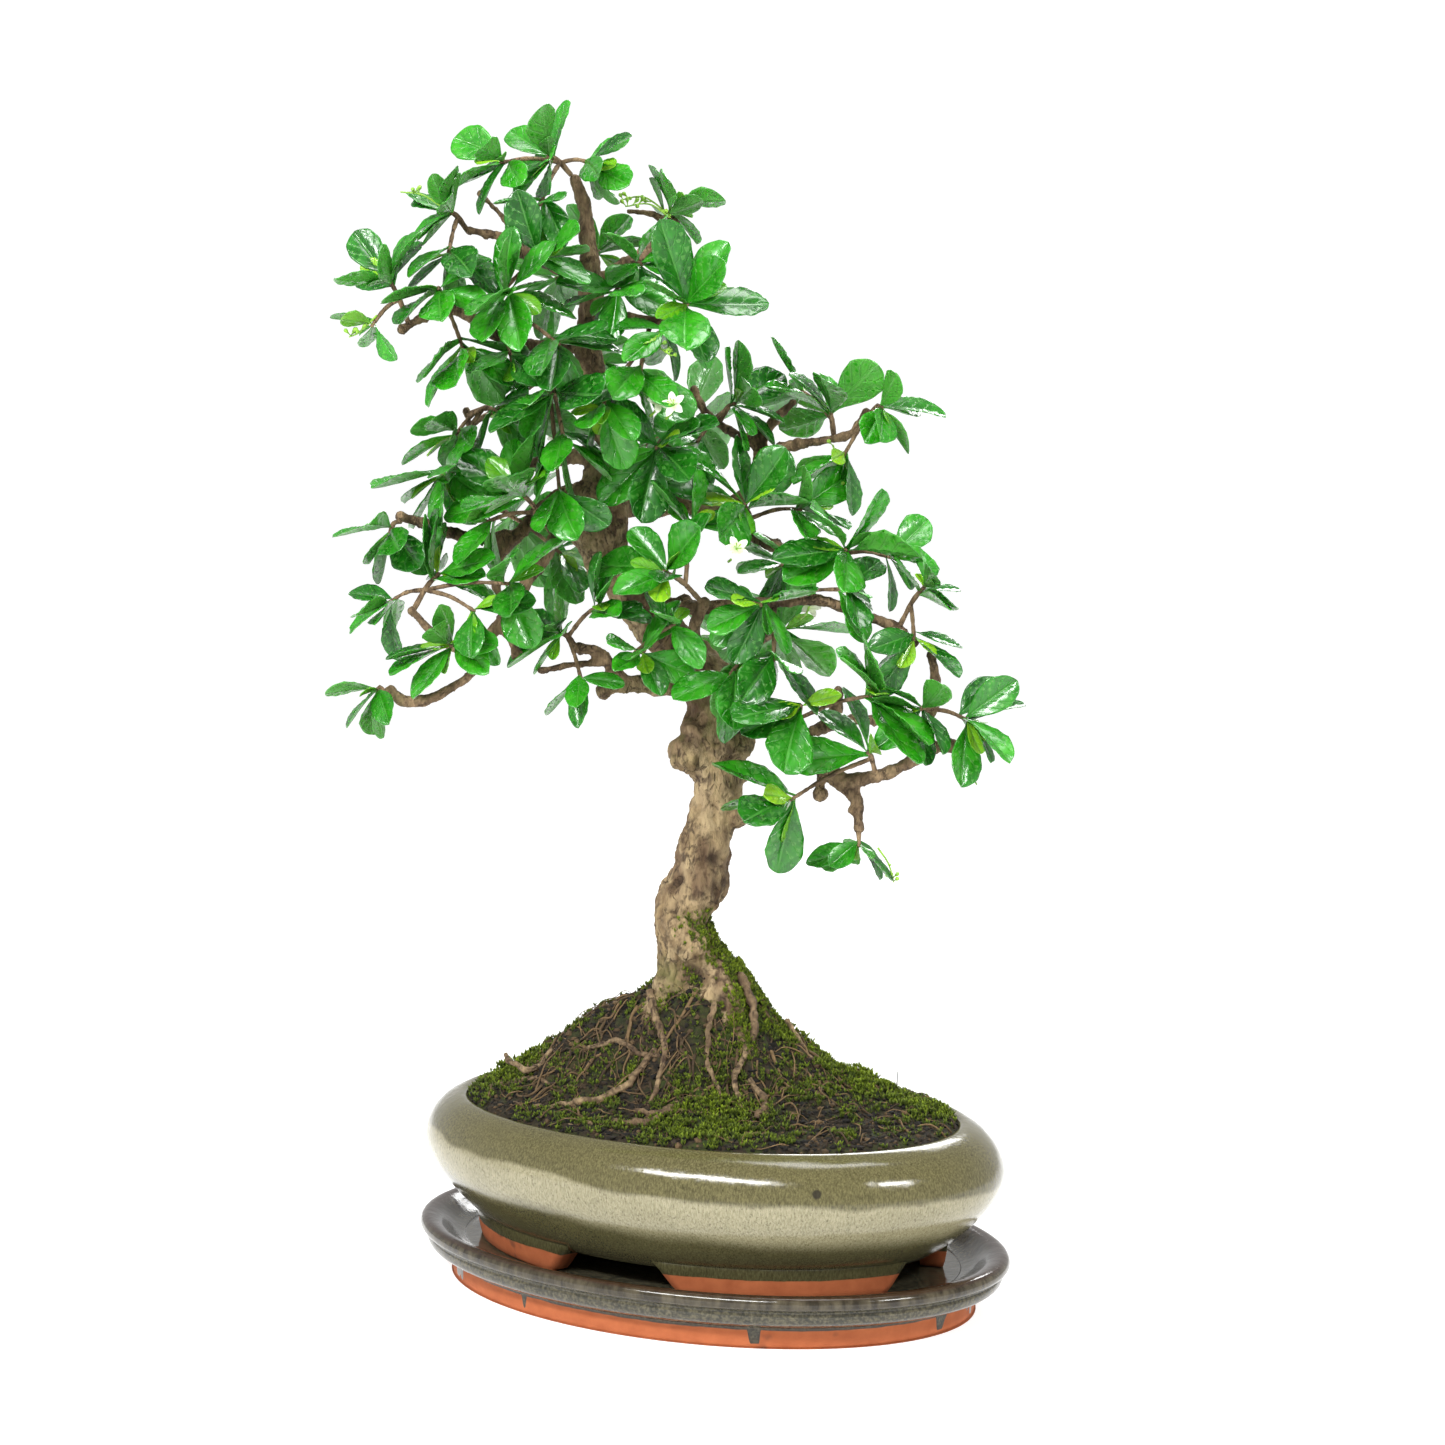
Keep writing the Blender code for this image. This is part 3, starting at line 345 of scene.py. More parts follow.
def mound_height(u, d):
    """Height of the soil above the ground, in millimetres."""
    edge = min(1, pot_share(u, d, MOUND_EDGE))
    height = 69.2 + 12 * (1 - edge**2)
    for middle_u, middle_d, tall, wide, deep in MOUND_HUMPS:
        away = ((u - middle_u) / wide) ** 2 + ((d - middle_d) / deep) ** 2
        height += tall * math.exp(-away / 2) * (1 - edge**6)
    return height


def nearest_wood(place, lines):
    """The nearest point on any wood's middle line, and its radius there."""
    best = None
    for start, end, r, r2 in lines:
        along = end - start
        share = min(1, max(0, (place - start).dot(along) / along.length_squared))
        point = start + share * along
        away = (place - point).length
        if best is None or away < best[0]:
            best = (away, point, r + share * (r2 - r))
    return best[1], best[2]


def spray_twigs(rosettes, lines):
    """A spray's twigs as (place, radius) points: the first leaves the wood, the others fork off it."""
    first_tip = tree_point(*rosettes[0][:3])
    middle, radius = nearest_wood(first_tip, lines)
    way = (first_tip - middle).normalized()
    root = middle + way * (radius + 0.7) * MM
    bend = root.lerp(first_tip, 0.5) + Vector((0, 0, 1.5 * MM))
    thick = TWIG_RADIUS * (1.5 if (first_tip - root).length > 0.03 else 1.15)
    twigs = [[(root, thick), (bend, TWIG_RADIUS * 1.1), (first_tip, TWIG_RADIUS * 0.8)]]
    for u, d, z, _leaves, _length in rosettes[1:]:
        tip = tree_point(u, d, z)
        fork = bend.lerp(root, 0.2)
        knee = fork.lerp(tip, 0.5) + Vector((0, 0, 1.5 * MM))
        twigs.append([(fork, TWIG_RADIUS), (knee, TWIG_RADIUS * 0.9), (tip, TWIG_RADIUS * 0.8)])
    return twigs


def leaf_candidate(draw, twig, order, length):
    """A place for one leaf: its base on the twig, its way out and the side that faces the light."""
    tip = twig[-1][0]
    stretch = tip - twig[-2][0]
    way = stretch.normalized()
    side = way.cross(Vector((0, 0, 1))).normalized()
    over = side.cross(way)
    turn = 2.4 * order + draw.uniform(-0.5, 0.5)
    spread = draw.uniform(0.5, 1.3)
    out = way * draw.uniform(0.3, 0.9) + (side * math.cos(turn) + over * math.sin(turn)) * spread
    out.z += draw.uniform(-0.15, 0.2)
    out.normalize()
    base = tip - way * min((0.3 + 0.8 * order) * MM, 0.6 * stretch.length)
    crown = Vector((base.x + 0.02, base.y + 0.005, 0)).normalized()
    light = Vector((0, 0, 1.0)) + crown * 0.9
    light += Vector((draw.uniform(-0.5, 0.5), draw.uniform(-0.5, 0.5), draw.uniform(-0.3, 0.3)))
    across = light.cross(out).normalized()
    up = out.cross(across)
    size = length * draw.uniform(0.8, 1.12) * MM
    bend = draw.uniform(0.05, 0.28)
    cup = draw.uniform(0.05, 0.3)
    return base, out, across, up, size, bend, cup


def leaf_point(leaf, along, width):
    """A point of the leaf's sheet: along its length and across it, as shares."""
    base, out, across, up, size, bend, cup = leaf
    half = 0.5 * LEAF_WIDTH_SHARE * size
    lift = cup * abs(width) * half - bend * along**2 * size
    return base + out * along * size + across * width * half + up * lift


class Paint:
    """One procedural material, written a node at a time."""

    def __init__(self, name, **sockets):
        self.material = bpy.data.materials.new(name)
        self.material.use_nodes = True
        self.tree = self.material.node_tree
        self.shader = self.tree.nodes["Principled BSDF"]
        for socket, value in sockets.items():
            self.shader.inputs[socket.replace("_", " ")].default_value = value

    def put(self, socket, value):
        if isinstance(value, bpy.types.NodeSocket):
            self.tree.links.new(value, socket)
        elif isinstance(value, tuple) and len(value) == 3 and len(socket.default_value) == 4:
            socket.default_value = (*value, 1)
        else:
            socket.default_value = value

    def node(self, kind, out=0, settings=None, **sockets):
        made = self.tree.nodes.new("ShaderNode" + kind)
        for key, value in (settings or {}).items():
            setattr(made, key, value)
        for name, value in sockets.items():
            self.put(made.inputs[name.replace("_", " ")], value)
        return made.outputs[out]

    def place(self, scale=(1, 1, 1)):
        place = self.tree.nodes.new("ShaderNodeTexCoord").outputs["Object"]
        return self.node("Mapping", Vector=place, Scale=scale)

    def noise(self, scale, detail=4.0, stretch=(1, 1, 1), rough=0.6):
        place = self.place(stretch)
        return self.node("TexNoise", Vector=place, Scale=scale, Detail=detail, Roughness=rough)

    def attribute(self, name):
        return self.node("Attribute", 2, {"attribute_name": name})

    def axis(self, index):
        """One coordinate of the place: 0 along the pot, 2 up."""
        return self.node("SeparateXYZ", index, Vector=self.place())

    def math(self, operation, first, second=0.0):
        made = self.tree.nodes.new("ShaderNodeMath")
        made.operation = operation
        self.put(made.inputs[0], first)
        self.put(made.inputs[1], second)
        return made.outputs[0]

    def plus(self, first, second):
        return self.math("ADD", first, second)

    def times(self, first, second):
        return self.math("MULTIPLY", first, second)

    def step(self, value, low, high, to_low=0.0, to_high=1.0):
        """An S-shaped rise from to_low to to_high while the value goes from low to high."""
        made = self.tree.nodes.new("ShaderNodeMapRange")
        made.interpolation_type = "SMOOTHSTEP"
        for index, item in enumerate((value, low, high, to_low, to_high)):
            self.put(made.inputs[index], item)
        return made.outputs[0]

    def mix(self, share, first, second):
        made = self.tree.nodes.new("ShaderNodeMix")
        made.data_type = "RGBA"
        self.put(made.inputs[0], share)
        self.put(made.inputs[6], first)
        self.put(made.inputs[7], second)
        return made.outputs[2]

    def over(self, base, share, strength, colour):
        """The colour laid over the base where the share says."""
        return self.mix(self.times(share, strength), base, colour)

    def finish(self, colour, roughness=None, bump=None, strength=0.3, distance=0.0006):
        self.put(self.shader.inputs["Base Color"], colour)
        if roughness is not None:
            self.put(self.shader.inputs["Roughness"], roughness)
        if bump is not None:
            made = self.node("Bump", Height=bump, Strength=strength, Distance=distance)
            self.tree.links.new(made, self.shader.inputs["Normal"])
        return self.material


def leaf_material():
    """Glossy leaves: darker when old, lime when young, with a pale midrib and side veins."""
    paint = Paint(
        "leaf", Roughness=0.3, Subsurface_Weight=0.12, Subsurface_Scale=0.002, Coat_Weight=0.3,
        Coat_Roughness=0.13,
    )
    paint.shader.inputs["Subsurface Radius"].default_value = (0.2, 1, 0.1)
    across = paint.attribute("across")
    along = paint.attribute("along")
    age = paint.attribute("age")
    under = paint.attribute("under")
    wide = paint.math("ABSOLUTE", across)
    rib = paint.step(wide, 0.03, 0.09, 1, 0)
    wave = paint.math("SUBTRACT", paint.times(along, VEINS), paint.times(wide, VEIN_SLANT))
    line = paint.math("ABSOLUTE", paint.math("SUBTRACT", paint.math("FRACT", wave), 0.5))
    side = paint.step(line, 0.0, 0.11, 1, 0)
    veins = paint.math("MAXIMUM", rib, paint.times(side, 0.5))
    mottle = paint.noise(170, 3)
    old = paint.mix(paint.step(mottle, 0.3, 0.7), (0.003, 0.06, 0.002), (0.008, 0.13, 0.003))
    fresh = paint.mix(paint.step(mottle, 0.3, 0.7), (0.012, 0.185, 0.003), (0.034, 0.3, 0.006))
    young = paint.mix(mottle, (0.14, 0.42, 0.008), (0.3, 0.56, 0.015))
    blade = paint.mix(paint.step(age, 0.05, 0.5), old, fresh)
    blade = paint.mix(paint.step(age, 0.62, 0.9), blade, young)
    blade = paint.over(blade, veins, 0.5, (0.09, 0.33, 0.05))
    blade = paint.over(blade, under, 0.55, (0.1, 0.29, 0.06))
    rough = paint.step(mottle, 0.25, 0.75, 0.22, 0.38)
    relief = paint.math("SUBTRACT", mottle, paint.times(veins, 1.5))
    return paint.finish(blade, rough, relief, 0.5, 0.0005)


def bark_material():
    """Flaky tan bark with dark scars on the trunk, browner on thin wood."""
    paint = Paint("bark", Roughness=0.85)
    crack = paint.attribute("crack")
    flake = paint.attribute("flake")
    thin = paint.attribute("thin")
    damp = paint.attribute("damp")
    grain = paint.noise(230, 8, (1, 1, 0.35))
    patch = paint.noise(42, 5, (1, 1, 0.5))
    fine = paint.noise(900, 4, (1, 1, 0.3))
    tan = paint.mix(paint.step(grain, 0.32, 0.68), (0.14, 0.085, 0.038), (0.36, 0.26, 0.13))
    pale = paint.mix(flake, tan, (0.46, 0.35, 0.2))
    pale = paint.mix(0.55, tan, pale)
    scar = paint.step(patch, 0.5, 0.57)
    dark = paint.mix(flake, (0.06, 0.028, 0.013), (0.2, 0.125, 0.065))
    bark = paint.over(pale, scar, 0.8, dark)
    brown = paint.mix(paint.step(grain, 0.3, 0.7), (0.065, 0.038, 0.018), (0.29, 0.195, 0.105))
    bark = paint.mix(thin, bark, brown)
    bark = paint.over(bark, crack, 0.9, (0.035, 0.018, 0.009))
    warp = paint.times(paint.noise(300, 3), 0.5)
    cells = {"feature": "DISTANCE_TO_EDGE"}
    lines = paint.node("TexVoronoi", 0, cells, Vector=paint.place((1, 1, 0.4)), Scale=330)
    lines = paint.step(paint.plus(lines, warp), 0.2, 0.3, 1, 0)
    worn = paint.step(paint.noise(60, 4), 0.42, 0.56)
    lines = paint.times(lines, worn)
    bark = paint.over(bark, lines, 0.7, (0.05, 0.027, 0.013))
    lichen = paint.times(damp, paint.step(paint.noise(75, 6), 0.47, 0.62))
    bark = paint.over(bark, lichen, 0.7, (0.09, 0.1, 0.015))
    pits = paint.step(paint.noise(130, 7, (1, 1, 0.6), 0.75), 0.56, 0.64)
    bark = paint.over(bark, pits, 0.7, (0.05, 0.027, 0.013))
    bark = paint.mix(paint.step(fine, 0.55, 0.75, 0, 0.6), bark, (0.05, 0.028, 0.014))
    relief = paint.math("SUBTRACT", paint.plus(grain, fine), lines)
    return paint.finish(bark, 0.88, relief, 0.9, 0.0011)


def pot_material():
    """Streaked grey-olive glaze that stops at the unglazed terracotta feet, banded by height with
    painted reflections: dark on the shoulder, pale round the belly, dark low down.
    """
    paint = Paint("pot_glaze", Coat_Weight=0.2, Coat_Roughness=0.05, Specular_IOR_Level=0.42)
    height = paint.axis(2)
    streak = paint.noise(1700, 7, (1, 1, 0.3), 0.7)
    cloud = paint.noise(28, 4, (1, 1, 0.6))
    speck = paint.noise(1300, 3, (1, 1, 0.6))
    share = paint.step(streak, 0.3, 0.7)
    # The glaze's own streaks run through every band. The bands by height are painted reflections, and
    # their edges waver and tilt along the pot's length.
    reflection_band_waver = paint.times(paint.math("SUBTRACT", paint.noise(14, 2), 0.5), 0.012)
    reflection_band_tilt = paint.times(paint.axis(0), 0.028)
    level = paint.plus(paint.plus(height, reflection_band_tilt), reflection_band_waver)
    # Painted pale reflection of the white floor round the belly.
    pale = paint.mix(share, (0.2, 0.18, 0.1), (0.36, 0.33, 0.21))
    # Painted dark reflection of the room on the shoulder, in olive.
    olive = paint.mix(share, (0.035, 0.03, 0.009), (0.16, 0.143, 0.06))
    base = paint.mix(paint.step(level, 0.056, 0.0582), pale, olive)
    # Painted dark reflection of the saucer and the pot's underside, low on the body.
    low = paint.mix(share, (0.03, 0.028, 0.012), (0.1, 0.092, 0.042))
    base = paint.mix(paint.step(level, 0.038, 0.046, 1, 0), base, low)
    base = paint.mix(paint.step(cloud, 0.35, 0.7, 0, 0.25), base, (0.12, 0.105, 0.045))
    base = paint.mix(paint.step(speck, 0.56, 0.68, 0, 0.6), base, (0.055, 0.042, 0.018))
    pits = paint.node("TexVoronoi", 0, Vector=paint.place(), Scale=48)
    base = paint.mix(paint.step(pits, 0.06, 0.1, 0.85, 0), base, (0.015, 0.012, 0.008))
    edge = paint.plus(height, paint.times(paint.noise(60), 0.0016))
    bare = paint.step(edge, 0.0229, 0.0233, 1, 0)
    clay = clay_colour(paint)
    gloss = paint.step(bare, 0.3, 0.7, 0.13, 0.85)
    paint.put(paint.shader.inputs["Coat Weight"], paint.step(bare, 0.3, 0.7, 0.2, 0))
    uneven = paint.plus(paint.times(streak, 0.12), paint.noise(75, 3))
    return paint.finish(paint.mix(bare, base, clay), gloss, uneven, 0.35, 0.0009)


def clay_colour(paint):
    """Bare terracotta with a few dark stains."""
    clay = paint.mix(paint.noise(160, 6), (0.3, 0.07, 0.02), (0.56, 0.165, 0.06))
    return paint.mix(paint.step(paint.noise(60, 3), 0.62, 0.72, 0, 0.7), clay, (0.09, 0.035, 0.02))


def saucer_material():
    """Dark olive-brown glaze with drips over a bare terracotta band."""
    paint = Paint("saucer_glaze", Coat_Weight=0.15, Coat_Roughness=0.04, Specular_IOR_Level=0.4)
    height = paint.axis(2)
    streak = paint.noise(300, 5, (1, 1, 0.3))
    base = paint.mix(paint.step(streak, 0.3, 0.7), (0.02, 0.015, 0.008), (0.085, 0.07, 0.042))
    wall = paint.step(height, 0.0165, 0.0175, 1, 0)
    fleck = paint.step(paint.noise(800, 5), 0.4, 0.65)
    dusty = paint.mix(fleck, (0.025, 0.028, 0.022), (0.14, 0.125, 0.075))
    base = paint.over(base, wall, 0.6, dusty)
    crest = paint.step(height, 0.0205, 0.0216)
    base = paint.over(base, crest, 0.8, (0.035, 0.014, 0.006))
    drip = paint.step(paint.noise(62, 2, (1, 1, 0.02)), 0.57, 0.62, 0, 0.0052)
    wave = paint.times(paint.noise(70, 2), 0.0012)
    edge = paint.plus(paint.plus(height, drip), wave)
    bare = paint.step(edge, 0.0072, 0.0076, 1, 0)
    base = paint.mix(paint.step(edge, 0.0078, 0.011, 0.6, 0), base, (0.03, 0.02, 0.01))
    gloss = paint.step(bare, 0.3, 0.7, 0.12, 0.85)
    paint.put(paint.shader.inputs["Coat Weight"], paint.step(bare, 0.3, 0.7, 0.15, 0))
    uneven = paint.plus(paint.times(streak, 0.3), paint.noise(90, 3))
    return paint.finish(paint.mix(bare, base, clay_colour(paint)), gloss, uneven, 0.3, 0.0008)


def tinted_material(name, dark, light, roughness, scale=500):
    """A material whose shade comes from each bit's own tint and a fine noise."""
    paint = Paint(name, Roughness=roughness)
    shade = paint.step(paint.noise(scale, 5), 0.2, 0.8, 0.4, 1.3)
    share = paint.times(paint.attribute("tint"), shade)
    colour = paint.mix(share, dark, light)
    return paint.finish(colour, roughness, paint.noise(scale * 2, 4), 0.6)


def soil_material():
    """Near-black damp soil, with thin green moss where the moss attribute says."""
    paint = Paint("soil", Roughness=0.95)
    grit = paint.noise(420, 8)
    dirt = paint.mix(paint.step(grit, 0.3, 0.75), (0.004, 0.003, 0.0015), (0.045, 0.028, 0.012))
    green = paint.mix(paint.noise(350, 5), (0.008, 0.025, 0.001), (0.07, 0.12, 0.004))
    cover = paint.times(paint.attribute("moss"), paint.step(paint.noise(160, 6), 0.42, 0.6))
    return paint.finish(paint.mix(cover, dirt, green), 0.95, grit, 1.0, 0.0015)


def screen_material():
    """Black plastic with the holes of its mesh drawn as a fine grid."""
    paint = Paint("screen_plastic", Roughness=0.6)
    holes = paint.node("TexVoronoi", 0, Vector=paint.place(), Scale=400)
    grid = paint.mix(paint.step(holes, 0.3, 0.4), (0.001, 0.001, 0.001), (0.03, 0.03, 0.03))
    return paint.finish(grid, 0.6, holes)


def new_piece(name, vertices, faces, material, attributes=None, smooth=True):
    """A shown piece from arrays, riding on the one body."""
    mesh = bpy.data.meshes.new(name)
    mesh.from_pydata([tuple(v) for v in vertices], [], [tuple(int(i) for i in f) for f in faces])
    for key, values in (attributes or {}).items():
        layer = mesh.attributes.new(key, "FLOAT", "POINT")
        layer.data.foreach_set("value", np.asarray(values, np.float32))
    mesh.update()
    mesh.polygons.foreach_set("use_smooth", [smooth] * len(mesh.polygons))
    mesh.materials.append(material)
    made = bpy.data.objects.new(name, mesh)
    bpy.context.scene.collection.objects.link(made)
    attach(made, "root")
    return made


def smooth_line(points, step):
    """A Catmull-Rom line through rows of numbers, with a point about every step."""
    rows = np.asarray(points, float)
    ends = np.vstack([2 * rows[0] - rows[1], rows, 2 * rows[-1] - rows[-2]])
    line = []
    for i in range(1, len(ends) - 2):
        a, b, c, d = ends[i - 1:i + 3]
        count = max(2, round(np.linalg.norm(c[:3] - b[:3]) / step))
        square, cube = 2 * a - 5 * b + 4 * c - d, 3 * b - a - 3 * c + d
        for t in np.arange(count) / count:
            line.append(0.5 * (2 * b + (c - a) * t + square * t**2 + cube * t**3))
    line.append(rows[-1])
    return np.array(line)


def tube_arrays(line, sides):
    """Vertices and faces of a round closed stem along rows of x, y, z, radius in metres."""
    middles, radii = line[:, :3], line[:, 3]
    ways = np.gradient(middles, axis=0)
    ways /= np.linalg.norm(ways, axis=1)[:, None]
    normal = np.cross(ways[0], (0.3, 0.9, 0.2))
    turns = np.linspace(0, 2 * math.pi, sides, endpoint=False)
    rings = []
    for middle, way, radius in zip(middles, ways, radii):
        normal = normal - way * normal.dot(way)
        normal /= np.linalg.norm(normal)
        other = np.cross(way, normal)
        circle = np.outer(np.cos(turns), normal) + np.outer(np.sin(turns), other)
        rings.append(middle + radius * circle)
    start = middles[0] - ways[0] * radii[0] * 0.5
    end = middles[-1] + ways[-1] * radii[-1] * 0.6
    vertices = np.vstack([*rings, start, end])
    faces = []
    for ring in range(len(rings) - 1):
        for side in range(sides):
            after = (side + 1) % sides
            a, b = ring * sides, (ring + 1) * sides
            faces.append((a + side, a + after, b + after, b + side))
    last = (len(rings) - 1) * sides
    for side in range(sides):
        after = (side + 1) % sides
        faces.append((len(vertices) - 2, after, side))
        faces.append((len(vertices) - 1, last + side, last + after))
    return vertices, faces


class Heap:
    """Gathers many small meshes into one."""

    def __init__(self):
        self.vertices, self.faces, self.values, self.count = [], [], {}, 0

    def add(self, vertices, faces, **values):
        self.vertices.append(np.asarray(vertices))
        self.faces += [tuple(i + self.count for i in face) for face in faces]
        self.count += len(vertices)
        for key, value in values.items():
            spread = np.broadcast_to(np.asarray(value, float), len(vertices))
            self.values.setdefault(key, []).append(spread)

    def piece(self, name, material, smooth=True):
        values = {key: np.concatenate(rows) for key, rows in self.values.items()}
        return new_piece(name, np.vstack(self.vertices), self.faces, material, values, smooth)


def ring_faces(first, steps):
    """The faces between a ring of points and the ring that follows it."""
    after = first + steps
    return [
        (first + i, after + i, after + (i + 1) % steps, first + (i + 1) % steps)
        for i in range(steps)
    ]


def ball_arrays(subdivisions):
    """Vertices and faces of a ball of radius 1."""
    work = bmesh.new()
    bmesh.ops.create_icosphere(work, subdivisions=subdivisions, radius=1)
    vertices = np.array([v.co[:] for v in work.verts])
    faces = [tuple(v.index for v in f.verts) for f in work.faces]
    work.free()
    return vertices, faces


def turned(profile, ratio):
    """An oval turned body: vertices and faces."""
    steps = OVAL_STEPS
    line = smooth_line([(r, z, 0) for r, z in profile], 1.2)
    line[0][0] = line[-1][0] = 0
    turns = np.linspace(0, 2 * math.pi, steps, endpoint=False)
    vertices = [(0, 0, line[0][1] * MM)]
    for r, z, _ in line[1:-1]:
        vertices += [
            (r * math.cos(t) * MM, r * math.sin(t) * ratio * MM, z * MM) for t in turns
        ]
    vertices.append((0, 0, line[-1][1] * MM))
    faces = [(0, 1 + i, 1 + (i + 1) % steps) for i in range(steps)]
    for ring in range(len(line) - 3):
        faces += ring_faces(1 + ring * steps, steps)
    last = 1 + (len(line) - 3) * steps
    faces += [(len(vertices) - 1, last + (i + 1) % steps, last + i) for i in range(steps)]
    return np.array(vertices), faces


def foot_arrays(start, end):
    """One foot: a curved wall under the pot whose ends slant inwards."""
    vertices, faces = [], []
    levels, steps = FOOT_LEVELS, FOOT_STEPS
    for z, inset, outer in levels:
        inner = 88 + (levels[0][0] - z) * 0.05
        for radius in (outer, inner):
            for i in range(steps + 1):
                t = math.radians(start + inset + (end - start - 2 * inset) * i / steps)
                x, y = radius * math.cos(t), radius * math.sin(t) * POT_RATIO
                vertices.append((x * MM, y * MM, z * MM))
    row = steps + 1
    for level in range(len(levels) - 1):
        for wall in (0, 1):
            for i in range(steps):
                a = (2 * level + wall) * row + i
                b = a + 2 * row
                quad = (a, a + 1, b + 1, b)
                faces.append(quad if wall else quad[::-1])
        for i in (0, steps):
            a, b = 2 * level * row + i, (2 * level + 1) * row + i
            quad = (a, b, b + 2 * row, a + 2 * row)
            faces.append(quad[::-1] if i else quad)
    last = 2 * (len(levels) - 1) * row
    for i in range(steps):
        faces.append((last + i, last + row + i, last + row + i + 1, last + i + 1))
        faces.append((i, i + 1, row + i + 1, row + i))
    return np.array(vertices), faces


def build_pot(glaze):
    """The oval pot with its four feet and two drain holes."""
    vertices, faces = turned(POT_PROFILE, POT_RATIO)
    drift = [noise.noise(Vector(v) * 22) for v in vertices]
    vertices = vertices * (1 + 0.004 * np.array(drift)[:, None] * np.array([1, 1, 0.4]))
    heap = Heap()
    heap.add(vertices, faces)
    for start, end in FEET_SPANS:
        heap.add(*foot_arrays(start, end))
    pot = heap.piece("oval_pot", glaze)
    holes = bpy.data.meshes.new("drain_holes")
    work = bmesh.new()
    for away in DRAIN_HOLES:
        bmesh.ops.create_cone(
            work, cap_ends=True, segments=48, radius1=0.008, radius2=0.008, depth=0.02,
            matrix=Matrix.Translation((away * MM, 0, 0.028)),
        )
    work.to_mesh(holes)
    work.free()
    cutter = bpy.data.objects.new("drain_holes", holes)
    bpy.context.scene.collection.objects.link(cutter)
    cut = pot.modifiers.new("Drain", "BOOLEAN")
    cut.operation = "DIFFERENCE"
    cut.object = cutter
    bpy.context.view_layer.update()
    graph = bpy.context.evaluated_depsgraph_get()
    pot.data = bpy.data.meshes.new_from_object(pot.evaluated_get(graph), depsgraph=graph)
    pot.modifiers.clear()
    bpy.data.objects.remove(cutter, do_unlink=True)
    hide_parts("pot")


def build_saucer(glaze):
    vertices, faces = turned(SAUCER_PROFILE, SAUCER_RATIO)
    saucer = new_piece("oval_saucer", vertices, faces, glaze)
    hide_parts("drip_saucer")


def tree_places(rows):
    """Rows of (u, d, z, ...) in millimetres to the world's metres, other columns scaled too."""
    rows = np.asarray(rows, float) * MM
    turn, slide = math.cos(TREE_TURN), math.sin(TREE_TURN)
    u, d = rows[:, 0].copy(), rows[:, 1].copy()
    rows[:, 0], rows[:, 1] = u * turn - d * slide, u * slide + d * turn
    return rows


def moss_share(u, d):
    """How mossy the mound is at a place, from 0 to 1."""
    share = 0.22 + 0.5 * noise.noise(Vector((u, d, 3)) / 8)
    for middle_u, middle_d, reach, dense in MOSS_SPOTS:
        away = ((u - middle_u) ** 2 + (d - middle_d) ** 2) / reach**2
        share = max(share, dense * math.exp(-(away**1.3)))
    return share


def rough_ground(u, d):
    """The mound's height with its lumps, in millimetres."""
    place = Vector((u, d, 0))
    lumps = 3.2 * noise.noise(place / 17) + 2 * noise.noise(place / 6.5)
    lumps += 1.1 * noise.noise(place / 2.6)
    edge = min(1, pot_share(u, d, SOIL_EDGE))
    return mound_height(u, d) + lumps * (1 - edge**8) + 4 * edge**8 * (1 - edge**30)


def tree_spot(x, y):
    """(u, d) of a world place given in millimetres."""
    turn, slide = math.cos(TREE_TURN), math.sin(TREE_TURN)
    return x * turn + y * slide, y * turn - x * slide


def build_soil(dirt):
    """The lumpy mound, closed by a side and a bottom that lie inside the pot's wall."""
    steps, rings = SOIL_STEPS, SOIL_RINGS
    vertices, moss = [], []
    for ring in range(rings + 1):
        radius = SOIL_EDGE * ring / rings
        for i in range(steps if ring else 1):
            t = 2 * math.pi * i / steps
            x, y = radius * math.cos(t), radius * math.sin(t) * POT_RATIO
            u, d = tree_spot(x, y)
            vertices.append((x * MM, y * MM, rough_ground(u, d) * MM))
            moss.append(moss_share(u, d))
    faces = [(0, 1 + i, 1 + (i + 1) % steps) for i in range(steps)]
    for radius, z in SOIL_SIDE:
        for i in range(steps):
            t = 2 * math.pi * i / steps
            x, y = radius * math.cos(t), radius * math.sin(t) * POT_RATIO
            vertices.append((x * MM, y * MM, z * MM))
            moss.append(0)
    for ring in range(rings - 1 + len(SOIL_SIDE)):
        faces += ring_faces(1 + ring * steps, steps)
    faces.append(tuple(len(vertices) - 1 - i for i in range(steps)))
    soil = new_piece("soil_mound", vertices, faces, dirt, {"moss": moss})
    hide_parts("soil")


def build_crumbs(dirt, draw):
    """Crumbs of soil and grit, fewer where the moss is thick."""
    shape, shape_faces = ball_arrays(1)
    crumbs = Heap()
    for _ in range(CRUMB_TRIES):
        u, d = ground_spot(draw)
        if moss_share(u, d) > draw.uniform(0.35, 0.9):
            continue
        size = draw.choice((0.35, 0.45, 0.6, 0.8, 1.2)) * draw.uniform(0.7, 1.2)
        jitter = 1 + 0.35 * np.array([draw.uniform(-1, 1) for _ in shape])[:, None]
        squash = np.array([draw.uniform(0.7, 1.3), draw.uniform(0.7, 1.3), draw.uniform(0.5, 1)])
        place = np.array([[u, d, rough_ground(u, d) + size * 0.2]])
        place = place + shape * jitter * squash * size
        crumbs.add(tree_places(place), shape_faces, tint=draw.random() ** 4)
    piece = crumbs.piece("soil_crumbs", dirt, smooth=False)


